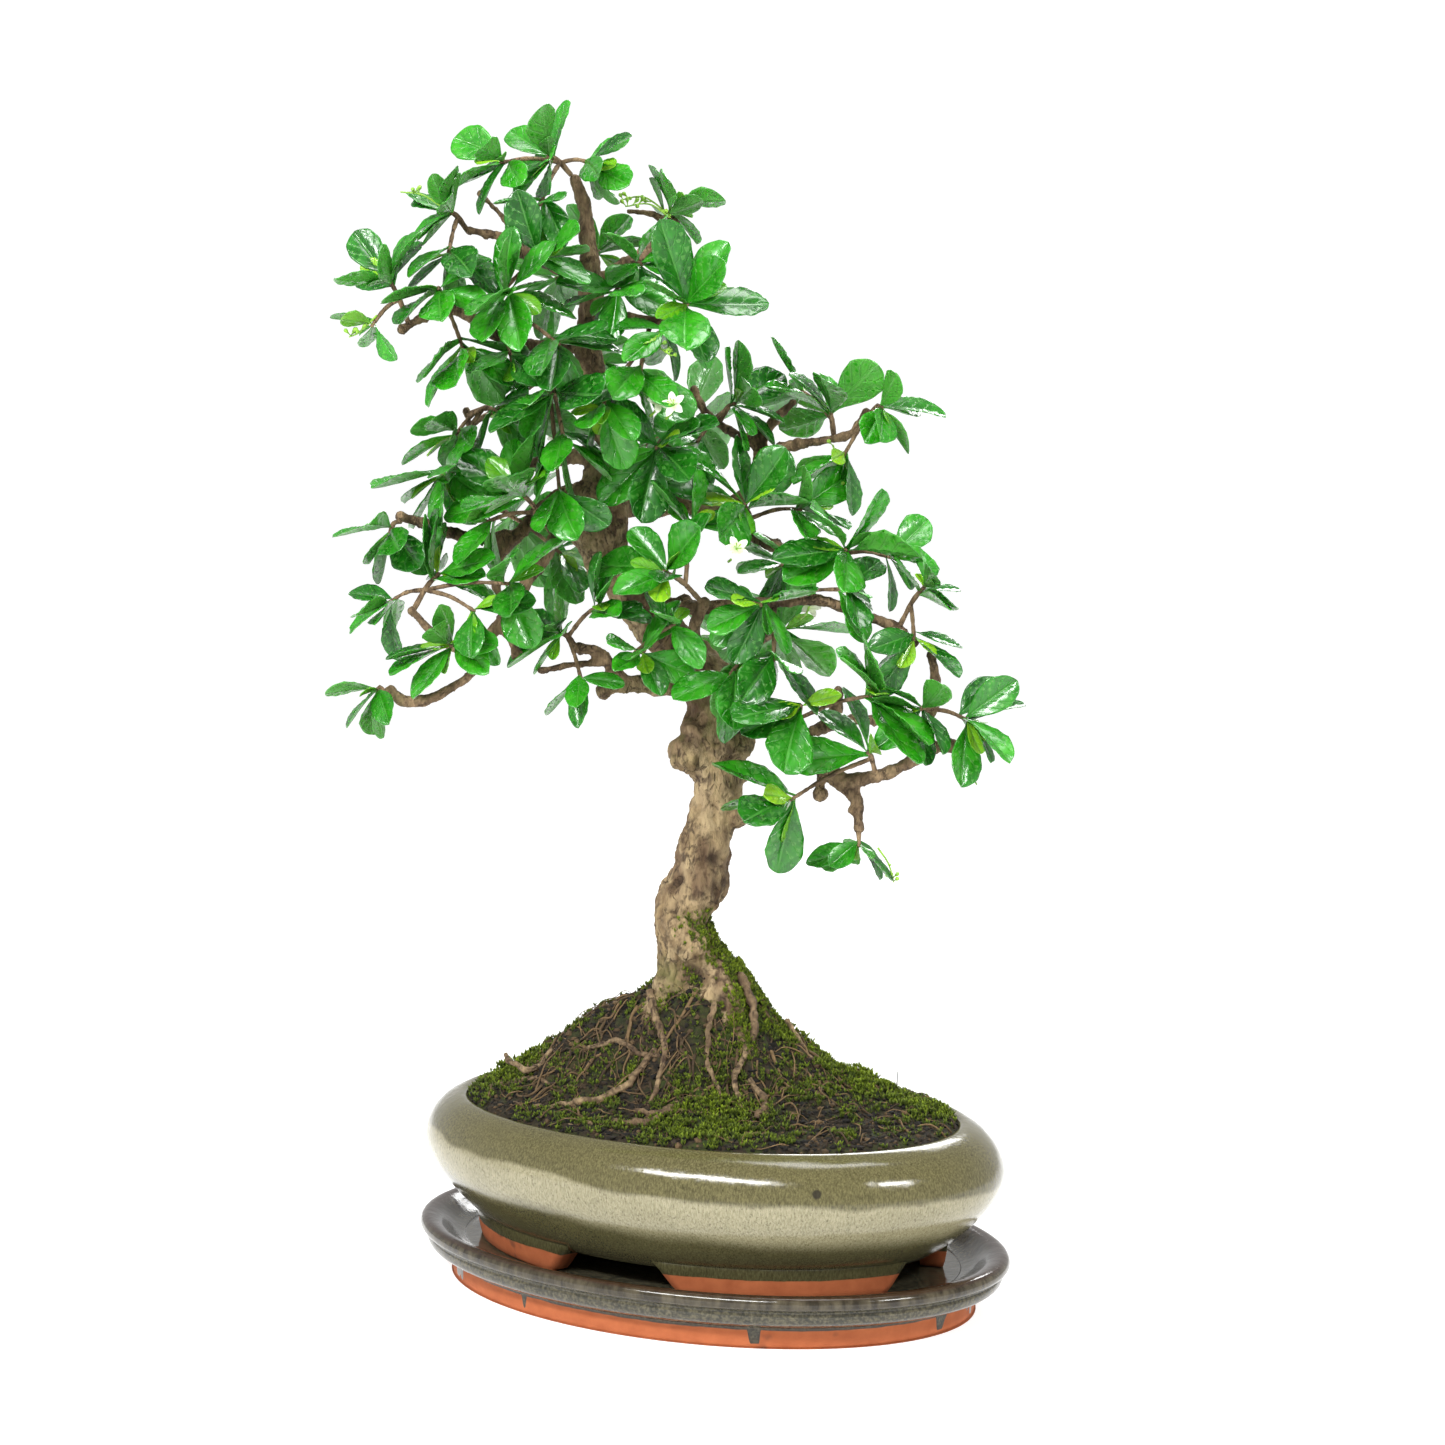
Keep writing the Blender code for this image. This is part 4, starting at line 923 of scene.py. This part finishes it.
def build_fibres(debris, draw):
    """Dry fibres that arch over the soil, thin roots round the trunk and one upright needle."""
    fibres = Heap()
    for _ in range(FIBRE_COUNT):
        u, d = ground_spot(draw)
        turn, length = draw.uniform(0, 6.28), draw.uniform(5, 17)
        bend = draw.uniform(-0.5, 0.5)
        rows = []
        radius = draw.uniform(0.16, 0.45)
        arch = draw.uniform(0.2, 2.6)
        for k in range(5):
            z = rough_ground(u, d) + 0.3 + arch * math.sin(k / 4 * math.pi)
            rows.append((u, d, z, radius * (1 - 0.12 * k)))
            u += math.cos(turn) * length / 4
            d += math.sin(turn) * length / 4
            turn += bend
        if pot_share(u, d, FIBRE_EDGE) < 1:
            fibres.add(*tube_arrays(tree_places(smooth_line(rows, 1.5)), 5), tint=draw.random())
    for _ in range(ROOTLET_COUNT):
        away, turn = draw.uniform(16, 62), math.radians(draw.uniform(150, 390))
        u, d = -8 + away * math.cos(turn), -2 + 0.8 * away * math.sin(turn)
        radius = draw.uniform(0.35, 0.8)
        turn += draw.uniform(-1.3, 1.3)
        rows = []
        for k in range(8):
            z = rough_ground(u, d) + draw.uniform(-0.2, 1.5)
            rows.append((u, d, z, radius * (1 - 0.1 * k)))
            u += math.cos(turn) * 3.6
            d += math.sin(turn) * 3.6
            turn += draw.uniform(-0.9, 0.9)
        if pot_share(u, d, FIBRE_EDGE) < 1:
            line = tree_places(smooth_line(rows, 1.2))
            fibres.add(*tube_arrays(line, 6), tint=draw.uniform(0.1, 0.75))
    ground = mound_height(74, 12)
    needle = [(74, 12, ground, 0.3), (74.5, 12, ground + 9, 0.16)]
    fibres.add(*tube_arrays(tree_places(smooth_line(needle, 2)), 5), tint=0)
    piece = fibres.piece("root_fibres", debris)


def ground_spot(draw):
    """A random place on the mound, clear of the rim."""
    radius, turn = BITS_EDGE * math.sqrt(draw.random()), draw.uniform(0, 2 * math.pi)
    return tree_spot(radius * math.cos(turn), radius * math.sin(turn) * POT_RATIO)


def build_moss(green, wood):
    """Tiny shoots of four narrow blades, thickest where the CAD cushions lie, and some on the bark."""
    draw = random.Random(8)
    heaps = {name: Heap() for name in MOSS_NODES}
    centres = {name: tree_middle(name) for name in MOSS_NODES}
    grown = [vert for vert in wood.vertices if mossy_bark(vert)]
    spots = [(*ground_spot(draw), None) for _ in range(MOSS_TRIES)]
    spots += [(0, 0, draw.choice(grown)) for _ in range(BARK_MOSS_COUNT)]
    for u, d, vert in spots:
        patchy = 0.5 + 0.5 * noise.noise(Vector((u, d, 7)) / 7)
        patchy += 0.3 * noise.noise(Vector((u, d, 1)) / 2.4)
        share = 1 if vert else moss_share(u, d)
        tall, turn, lean = draw.uniform(1, 2.5), draw.uniform(0, 6.28), draw.uniform(0.3, 0.8)
        shade = draw.random()
        if not vert and share * 1.35 * patchy < draw.uniform(0.1, 0.75):
            continue
        if vert:
            u, d = tree_spot(vert.co.x / MM, vert.co.y / MM)
            foot = np.array([u, d, vert.co.z / MM + draw.uniform(-0.5, 0.9)])
        else:
            foot = np.array([u, d, rough_ground(u, d) + share * draw.uniform(0.4, 3.2)])
        vertices, faces = [], []
        for blade in range(4):
            way = turn + blade * 2 * math.pi / 4
            out = np.array([math.cos(way), math.sin(way), 0])
            half = np.array([-math.sin(way), math.cos(way), 0]) * 0.17 * tall
            middle = foot + out * lean * tall * 0.5 + np.array([0, 0, tall * 0.5])
            tip = foot + out * lean * tall + np.array([0, 0, tall * 0.9])
            first = len(vertices)
            vertices += [foot, middle + half, tip, middle - half]
            faces.append((first, first + 1, first + 2, first + 3))
        bright = (0.35 + 0.75 * shade) * (0.45 + 0.6 * min(1, share * 1.3))
        nearest = min(centres, key=lambda name: math.dist(centres[name], (u, d)))
        heaps[nearest].add(tree_places(vertices), faces, tint=np.tile([0.1, 0.6, 1, 0.6], 4) * bright)
    for name, heap in heaps.items():
        piece = heap.piece(name + "_shoots", green)
        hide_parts(name)


def mossy_bark(vert):
    """Whether moss grows on this point of the wood: on the right of the trunk's foot."""
    u, _d = tree_spot(*vert.normal[:2])
    place = vert.co / MM
    patch = noise.noise(place / 9)
    return 84 < place.z < 148 - 22 * (u < 0) + 14 * patch and u > 0.1 + 0.9 * patch


def tree_middle(node):
    """(u, d) of the middle of a CAD piece's box."""
    low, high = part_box(node)
    return tree_spot((low[0] + high[0]) / 2 / MM, (low[1] + high[1]) / 2 / MM)


def wood_rows():
    """Every limb as a smooth line in metres, with old leaf scars and knots as swellings."""
    draw = random.Random(5)
    rows = []
    for limb in [TRUNK, *ROOT_FLARE, *LIMBS]:
        line = smooth_line(limb, 1.6)
        thin = line[:, 3] < 4.5
        swell = np.array([1 + 0.16 * noise.noise(Vector(row[:3]) / 3.2) for row in line])
        line[:, 3] *= np.where(thin, swell, 1)
        rows.append(tree_places(line))
    knots = []
    for limb in LIMBS:
        for start, end in zip(limb, limb[1:]):
            radius = start[3]
            for _ in range(2):
                t = draw.random()
                place = [
                    a + (b - a) * t + draw.uniform(-0.6, 0.6) * radius
                    for a, b in zip(start[:3], end[:3])
                ]
                knots.append((*place, radius * draw.uniform(0.5, 0.8)))
        *place, radius = limb[-1]
        knots.append((*place, radius * 1.35))
    return rows, [*knots, *BURLS, *KNOTS]


def build_wood(bark):
    """Trunk and branches in one skin, as they grow, with cracked, flaking bark as real relief."""
    rows, knots = wood_rows()
    heap = Heap()
    for line in rows:
        heap.add(*tube_arrays(line, 14))
    shape, shape_faces = ball_arrays(2)
    for u, d, z, radius in knots:
        place = tree_places([(u, d, z)])[0]
        heap.add(place + shape * radius * MM, shape_faces)
    wood = heap.piece("wood", bark)
    skin = wood.modifiers.new("Skin", "REMESH")
    skin.mode = "VOXEL"
    skin.voxel_size = BARK_VOXEL
    ease = wood.modifiers.new("Ease", "SMOOTH")
    ease.factor = 0.5
    ease.iterations = 4
    bpy.context.view_layer.update()
    graph = bpy.context.evaluated_depsgraph_get()
    mesh = bpy.data.meshes.new_from_object(wood.evaluated_get(graph), depsgraph=graph)
    wood.modifiers.clear()
    wood.data = mesh
    carve_bark(mesh, rows)
    mesh.polygons.foreach_set("use_smooth", [True] * len(mesh.polygons))
    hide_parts("trunk", *BRANCHES)
    return mesh


def carve_bark(mesh, rows):
    """Moves the skin's points in and out for flakes, cracks and pits, and keeps what each point is."""
    count = len(mesh.vertices)
    places = np.empty(count * 3)
    mesh.vertices.foreach_get("co", places)
    places = places.reshape(-1, 3)
    normals = np.array([v.normal[:] for v in mesh.vertices])
    points = np.vstack(rows)
    finder = KDTree(len(points))
    for index, point in enumerate(points):
        finder.insert(point[:3], index)
    finder.balance()
    thin, crack, flake, damp, shift = (np.zeros(count) for _ in range(5))
    hollows = [(tree_point(u, d, z) / MM, reach) for u, d, z, reach in HOLLOWS]
    for index, place in enumerate(places):
        radius = max(points[found[1]][3] for found in finder.find_n(place, 10)) / MM
        spot = Vector(place) / MM
        spot_long = Vector((spot.x, spot.y, spot.z * 0.6))
        thin[index] = min(1, max(0, (5.6 - radius) / 2.6))
        size = 4.6 if radius > 5 else 2.4
        warp = Vector([noise.noise(spot / 3 + Vector(away)) for away in WARP_PLACES])
        distances, cells = noise.voronoi(spot_long / size + warp * 0.45)
        gap = distances[1] - distances[0]
        broken = min(1, max(0, 0.6 + 1.8 * noise.noise(spot / 6 + Vector((0, 0, 40)))))
        crack[index] = max(0, 1 - gap / 0.16) * broken
        flake[index] = 0.5 + 0.5 * noise.cell(cells[0] * 3)
        hollow = max(
            math.exp(-(((spot - middle).length / reach) ** 2)) for middle, reach in hollows
        )
        crack[index] = max(crack[index], min(1, hollow * 1.5))
        lumps = noise.noise(spot / 8) * 1.7 + noise.noise(spot_long / 3.1) * 0.8
        lumps -= abs(noise.noise(spot_long / 4.5)) * 1.2
        raised = (flake[index] - 0.5) * 0.5
        strength = min(1, radius / 7)
        rough = noise.noise(spot_long / 1.3) * 0.3 + noise.noise(spot / 0.8) * 0.16
        shift[index] = strength * (lumps + raised - 0.7 * crack[index] - 2.6 * hollow) + rough
        damp[index] = sum(
            max(0, 1 - abs(spot.z - z) / reach) * strong for z, reach, strong in DAMP_BELTS
        )
    moved = places + normals * (shift * MM)[:, None]
    mesh.vertices.foreach_set("co", moved.ravel())
    kept = {"thin": thin, "crack": crack, "flake": flake, "damp": np.minimum(1, damp)}
    for key, values in kept.items():
        layer = mesh.attributes.new(key, "FLOAT", "POINT")
        layer.data.foreach_set("value", values.astype(np.float32))
    mesh.update()


def build_roots(bark):
    """Roots that lie on the mound or run in and out of it."""
    for name, route in SURFACE_ROOTS.items():
        rows = [(u, d, mound_height(u, d) + 1.1, radius) for u, d, radius in route]
        root_piece(name + "_bark", rows, bark, name)
    for index, route in enumerate(SHOWN_ROOTS):
        rows = [(u, d, mound_height(u, d) + lift, radius) for u, d, lift, radius in route]
        root_piece(f"fine_root_{index}", rows, bark)


def root_piece(name, rows, bark, node=None):
    """One gnarled root along rows of (u, d, z, radius)."""
    line = smooth_line(rows, 0.8)
    for row in line:
        place = Vector(row[:3])
        row[:3] += np.array(noise.noise_vector(place / 5)) * 1.1
        row[3] *= 1 + 0.35 * noise.noise(place / 1.7)
    line[:, 3] *= 0.8
    vertices, faces = tube_arrays(tree_places(line), 10)
    grain = [noise.noise_vector(Vector(place) / (1.4 * MM)) for place in vertices]
    heap = Heap()
    crack = [max(0, g[0] * 2) for g in grain]
    heap.add(vertices + np.array(grain) * 0.28 * MM, faces, thin=0.6, flake=0.4, crack=crack)
    piece = heap.piece(name, bark)
    if node:
        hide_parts(node)


def leaf_arrays(leaf, wobble):
    """A leaf as one closed thin skin with a sunk midrib and puckered veins, and what each point is."""
    base, out, side, up, size, bend, cup = leaf
    s, w = np.meshgrid(LEAF_ALONG, LEAF_ACROSS, indexing="ij")
    wide = np.interp(s ** (0.86 + 0.34 * wobble), *LEAF_WIDTHS)
    wide *= 1 + 0.05 * np.sin(s * 26 + wobble * 9) * np.clip(s - 0.45, 0, 1) * 2
    half = 0.5 * LEAF_WIDTH_SHARE * size * (0.93 + 0.22 * wobble)
    lift = cup * np.abs(w) * half * wide - bend * s**2 * size
    pucker = np.sin(2 * np.pi * (VEINS * s - VEIN_SLANT * np.abs(w) + 0.25))
    lift += 0.13 * half * pucker * np.abs(w) * (1.1 - np.abs(w)) * 2.2 * wide
    lift -= 0.15 * half * np.exp(-((w / 0.16) ** 2)) * wide
    lift += 0.09 * half * np.sin(5.5 * s + wobble * 6 + 1.4 * np.sign(w)) * w**2
    curl = (wobble - 0.5) * 0.22 * s**2 * size
    points = np.array(base) + s[..., None] * size * np.array(out)
    points = points + (w * half * wide + curl)[..., None] * np.array(side)
    points = points + lift[..., None] * np.array(up)
    thick = 0.16 * MM * (1 - 0.75 * np.abs(w)) + 0.04 * MM
    top = (points + thick[..., None] * np.array(up)).reshape(-1, 3)
    under = (points - thick[..., None] * np.array(up)).reshape(-1, 3)
    rows, columns = s.shape
    faces = []
    for i in range(rows - 1):
        for j in range(columns - 1):
            a, b = i * columns + j, (i + 1) * columns + j
            faces.append((a, b, b + 1, a + 1))
            faces.append(tuple(len(top) + k for k in (a + 1, b + 1, b, a)))
    edge = list(range(columns)) + [(i + 1) * columns - 1 for i in range(1, rows)]
    edge += [rows * columns - 2 - j for j in range(columns - 1)]
    edge += [i * columns for i in range(rows - 2, 0, -1)]
    for here, after in zip(edge, edge[1:] + edge[:1]):
        faces.append((here, after, len(top) + after, len(top) + here))
    values = {
        "across": np.tile(w.ravel(), 2), "along": np.tile(s.ravel(), 2),
        "under": np.repeat([0.0, 1.0], len(top)),
    }
    return np.vstack([top, under]), faces, values


def cad_leaves(sprays, twigs):
    """The leaves of the CAD sprays: of each leaf's tries, the one whose edge is on the CAD mesh."""
    draw = random.Random(20)
    chosen = {name: [] for name in sprays}
    for name, rosettes in sprays.items():
        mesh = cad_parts[name].data
        finder = KDTree(len(mesh.vertices))
        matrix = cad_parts[name].matrix_world
        for index, vert in enumerate(mesh.vertices):
            finder.insert(matrix @ vert.co, index)
        finder.balance()
        for (_u, _d, _z, leaves, length), twig in zip(rosettes, twigs[name]):
            for order in range(leaves):
                tries = [leaf_candidate(draw, twig, order, length) for _ in range(LEAF_TRIES)]
                for leaf in tries:
                    edge = [finder.find(leaf_point(leaf, *share))[2] for share in LEAF_EDGE]
                    if sum(away < LEAF_NEAR * MM for away in edge) >= 3:
                        chosen[name].append((leaf, order))
                        break
    return chosen


def build_sprays(leaf_paint, bark):
    """Every spray's leaves, with a few small young ones at each tip, and its twigs."""
    sprays = {**SPRAYS, **BACK_SPRAYS}
    lines = wood_lines()
    twigs = {name: spray_twigs(rosettes, lines) for name, rosettes in sprays.items()}
    draw = random.Random(11)
    for name, leaves in cad_leaves(sprays, twigs).items():
        heap = Heap()
        for leaf, order in leaves:
            wobble = draw.random()
            age = draw.uniform(0, 0.62)
            if leaf[4] < 15.5 * MM and draw.random() < 0.4:
                age = draw.uniform(0.7, 1)
            vertices, faces, values = leaf_arrays(leaf, wobble)
            heap.add(vertices, faces, age=age, **values)
        for (_u, _d, _z, _leaves, length), twig in zip(sprays[name], twigs[name]):
            for order in range(draw.choice((1, 2, 3, 3))):
                leaf = leaf_candidate(draw, twig, order, length * 0.52)
                vertices, faces, values = leaf_arrays(leaf, draw.random())
                heap.add(vertices, faces, age=draw.uniform(0.6, 1), **values)
        piece = heap.piece(name + "_leaves", leaf_paint)
        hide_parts(name)
        stems = Heap()
        for index, twig in enumerate(twigs[name]):
            rows = np.array([(*place, radius * MM) for place, radius in twig])
            line = smooth_line(rows, 1.2 * MM)
            if index == 0:
                way = line[1, :3] - line[0, :3]
                line[0, :3] -= way / np.linalg.norm(way) * 1.6 * MM
            for row in line:
                row[3] *= 1 + 0.3 * noise.noise(Vector(row[:3]) / (1.6 * MM))
            stems.add(*tube_arrays(line, 9), thin=1, flake=0.3)
        stem = stems.piece(name + "_twigs", bark)
        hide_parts(name)


def wood_lines():
    """Straight stretches of the wood that bears sprays: (start, end, start radius, end radius)."""
    lines = []
    for limb in [TRUNK[8:], *LIMBS]:
        for (u, d, z, r), (u2, d2, z2, r2) in zip(limb, limb[1:]):
            lines.append((tree_point(u, d, z), tree_point(u2, d2, z2), r, r2))
    return lines


def build_flowers(petal_paint, stem_paint):
    """White five-petalled stars with their stamens, and green buds on thin stems."""
    draw = random.Random(2)
    petals, greens = Heap(), Heap()
    for u, d, z, turn in FLOWERS:
        centre = np.array(tree_point(u, d, z))
        look = np.array([math.sin(math.radians(turn)), -math.cos(math.radians(turn)), 0.35])
        look = np.array(Matrix.Rotation(TREE_TURN, 3, "Z") @ Vector(look).normalized())
        side = np.cross(look, (0, 0, 1))
        side /= np.linalg.norm(side)
        over = np.cross(side, look)
        for k in range(5):
            t = 2 * math.pi * k / 5 + draw.uniform(-0.15, 0.15)
            out = math.cos(t) * side + math.sin(t) * over
            across = np.cross(look, out)
            grid, faces = [], []
            for i, s in enumerate(np.linspace(0, 1, 6)):
                wide = 1.5 * math.sin(math.pi * (0.12 + 0.84 * s)) ** 0.8
                for w in (-1, -0.4, 0.4, 1):
                    lift = 0.9 * math.sin(s * 2.2) + 0.35 * abs(w)
                    grid.append(centre + (out * (0.4 + 4.6 * s) + across * w * wide + look * lift) * MM)
                if i:
                    row = range(4 * i - 4, 4 * i - 1)
                    faces += [(j, j + 1, j + 5, j + 4) for j in row]
            petals.add(grid, faces, tint=np.repeat(np.linspace(0.2, 1, 6), 4))
            tip = centre + (look * 3.6 + out * 1.3) * MM
            knee = centre + (tip - centre) * 0.6
            line = np.array([[*centre, 0.13 * MM], [*knee, 0.12 * MM], [*tip, 0.3 * MM]])
            greens.add(*tube_arrays(line, 6), tint=0.9)
        stalk = [(u, d, z, 0.5), (u - 1, d + 3, z - 3, 0.45), (u - 3, d + 7, z - 5, 0.5)]
        greens.add(*tube_arrays(tree_places(smooth_line(stalk, 1)), 7), tint=0.6)
    for stem in BUD_STEMS:
        rows = [(*place, 0.4 - 0.06 * k) for k, place in enumerate(stem)]
        greens.add(*tube_arrays(tree_places(smooth_line(rows, 1)), 7), tint=0.7)
        for _ in range(6):
            half = stem[1:] if draw.uniform(0.35, 1) > 0.5 else stem[:2]
            a, b = np.array(half)
            foot = a + (b - a) * draw.random()
            way = [draw.uniform(-2.5, 2.5), draw.uniform(-2.5, 2.5), draw.uniform(-0.5, 3)]
            top = foot + np.array(way)
            end = top + (top - foot) * 0.25
            rows = [(*foot, 0.22), (*((foot + top) / 2), 0.25), (*top, 0.85), (*end, 0.45)]
            greens.add(*tube_arrays(tree_places(smooth_line(rows, 0.6)), 7), tint=draw.uniform(0.5, 1))
    piece = petals.piece("flower_petals", petal_paint)
    piece = greens.piece("buds_and_stems", stem_paint)


def build_stage():
    """White paper, lamps and a world that is white to the camera and dimmer to all else."""
    bpy.ops.mesh.primitive_plane_add(size=60, location=(0, 0, 0))
    floor = bpy.context.object
    floor.name = "floor"
    paint = Paint("floor_paper", Roughness=0.7, Emission_Strength=0.7)
    paint.put(paint.shader.inputs["Emission Color"], (1, 1, 1))
    floor.data.materials.append(paint.finish((0.6, 0.6, 0.6)))
    scene = bpy.context.scene
    scene.view_settings.view_transform = "Standard"
    world = bpy.data.worlds.new("studio")
    scene.world = world
    world.use_nodes = True
    tree = world.node_tree
    coords = tree.nodes.new("ShaderNodeTexCoord").outputs["Generated"]
    height = tree.nodes.new("ShaderNodeSeparateXYZ")
    tree.links.new(coords, height.inputs[0])
    fade = tree.nodes.new("ShaderNodeMapRange")
    for index, value in enumerate((0.1, 0.6, 0.78, 0.45), start=1):
        fade.inputs[index].default_value = value
    tree.links.new(height.outputs[2], fade.inputs[0])
    seen = tree.nodes.new("ShaderNodeMix")
    seen.inputs[3].default_value = 1.05
    tree.links.new(tree.nodes.new("ShaderNodeLightPath").outputs["Is Camera Ray"], seen.inputs[0])
    tree.links.new(fade.outputs[0], seen.inputs[2])
    tree.links.new(seen.outputs[0], tree.nodes["Background"].inputs["Strength"])
    tree.nodes["Background"].inputs["Color"].default_value = (1, 1, 1, 1)
    for name, place, wide, deep, power in LAMPS:
        light = bpy.data.lights.new(name, "AREA")
        light.shape = "RECTANGLE"
        light.size, light.size_y, light.energy = wide, deep, power
        lamp = bpy.data.objects.new(name, light)
        lamp.location = Matrix.Rotation(CAMERA_TURN, 3, "Z") @ Vector(place)
        way = Vector((0, 0, 0.2)) - lamp.location
        lamp.rotation_euler = way.to_track_quat("-Z", "Y").to_euler()
        scene.collection.objects.link(lamp)


def build_camera():
    """The photo's own view."""
    camera = bpy.data.cameras.new("camera")
    camera.lens = CAMERA_LENS
    camera.sensor_width = 36
    camera.clip_start = 0.01
    eye = bpy.data.objects.new("camera", camera)
    level = math.cos(CAMERA_RISE)
    back = Vector((
        math.sin(CAMERA_TURN) * level, -math.cos(CAMERA_TURN) * level, math.sin(CAMERA_RISE)
    ))
    eye.location = tree_point(*CAMERA_AIM) + back * CAMERA_AWAY
    eye.rotation_euler = back.to_track_quat("Z", "Y").to_euler()
    bpy.context.scene.collection.objects.link(eye)
    bpy.context.scene.camera = eye


def main():
    noise.seed_set(1)
    build_camera()
    build_stage()
    bark = bark_material()
    green_stem = tinted_material("green_stem", (0.05, 0.2, 0.01), (0.35, 0.62, 0.06), 0.45)
    build_saucer(saucer_material())
    build_pot(pot_material())
    debris = tinted_material("root_fibre", (0.02, 0.011, 0.005), (0.24, 0.15, 0.065), 0.9)
    crumb = tinted_material("crumb", (0.004, 0.003, 0.002), (0.13, 0.08, 0.035), 0.95)
    build_soil(soil_material())
    draw = random.Random(3)
    build_crumbs(crumb, draw)
    build_fibres(debris, draw)
    wood = build_wood(bark)
    green = tinted_material("moss_shoots", (0.008, 0.02, 0.001), (0.26, 0.36, 0.008), 0.8, scale=300)
    build_moss(green, wood)
    build_roots(bark)
    build_sprays(leaf_material(), bark)
    petal = tinted_material("petal", (0.55, 0.72, 0.3), (0.9, 0.9, 0.84), 0.6, scale=900)
    build_flowers(petal, green_stem)
    screens = screen_material()
    for node in ("drain_screen_left", "drain_screen_right"):
        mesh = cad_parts[node].data
        mesh.materials.clear()
        mesh.materials.append(screens)


main()
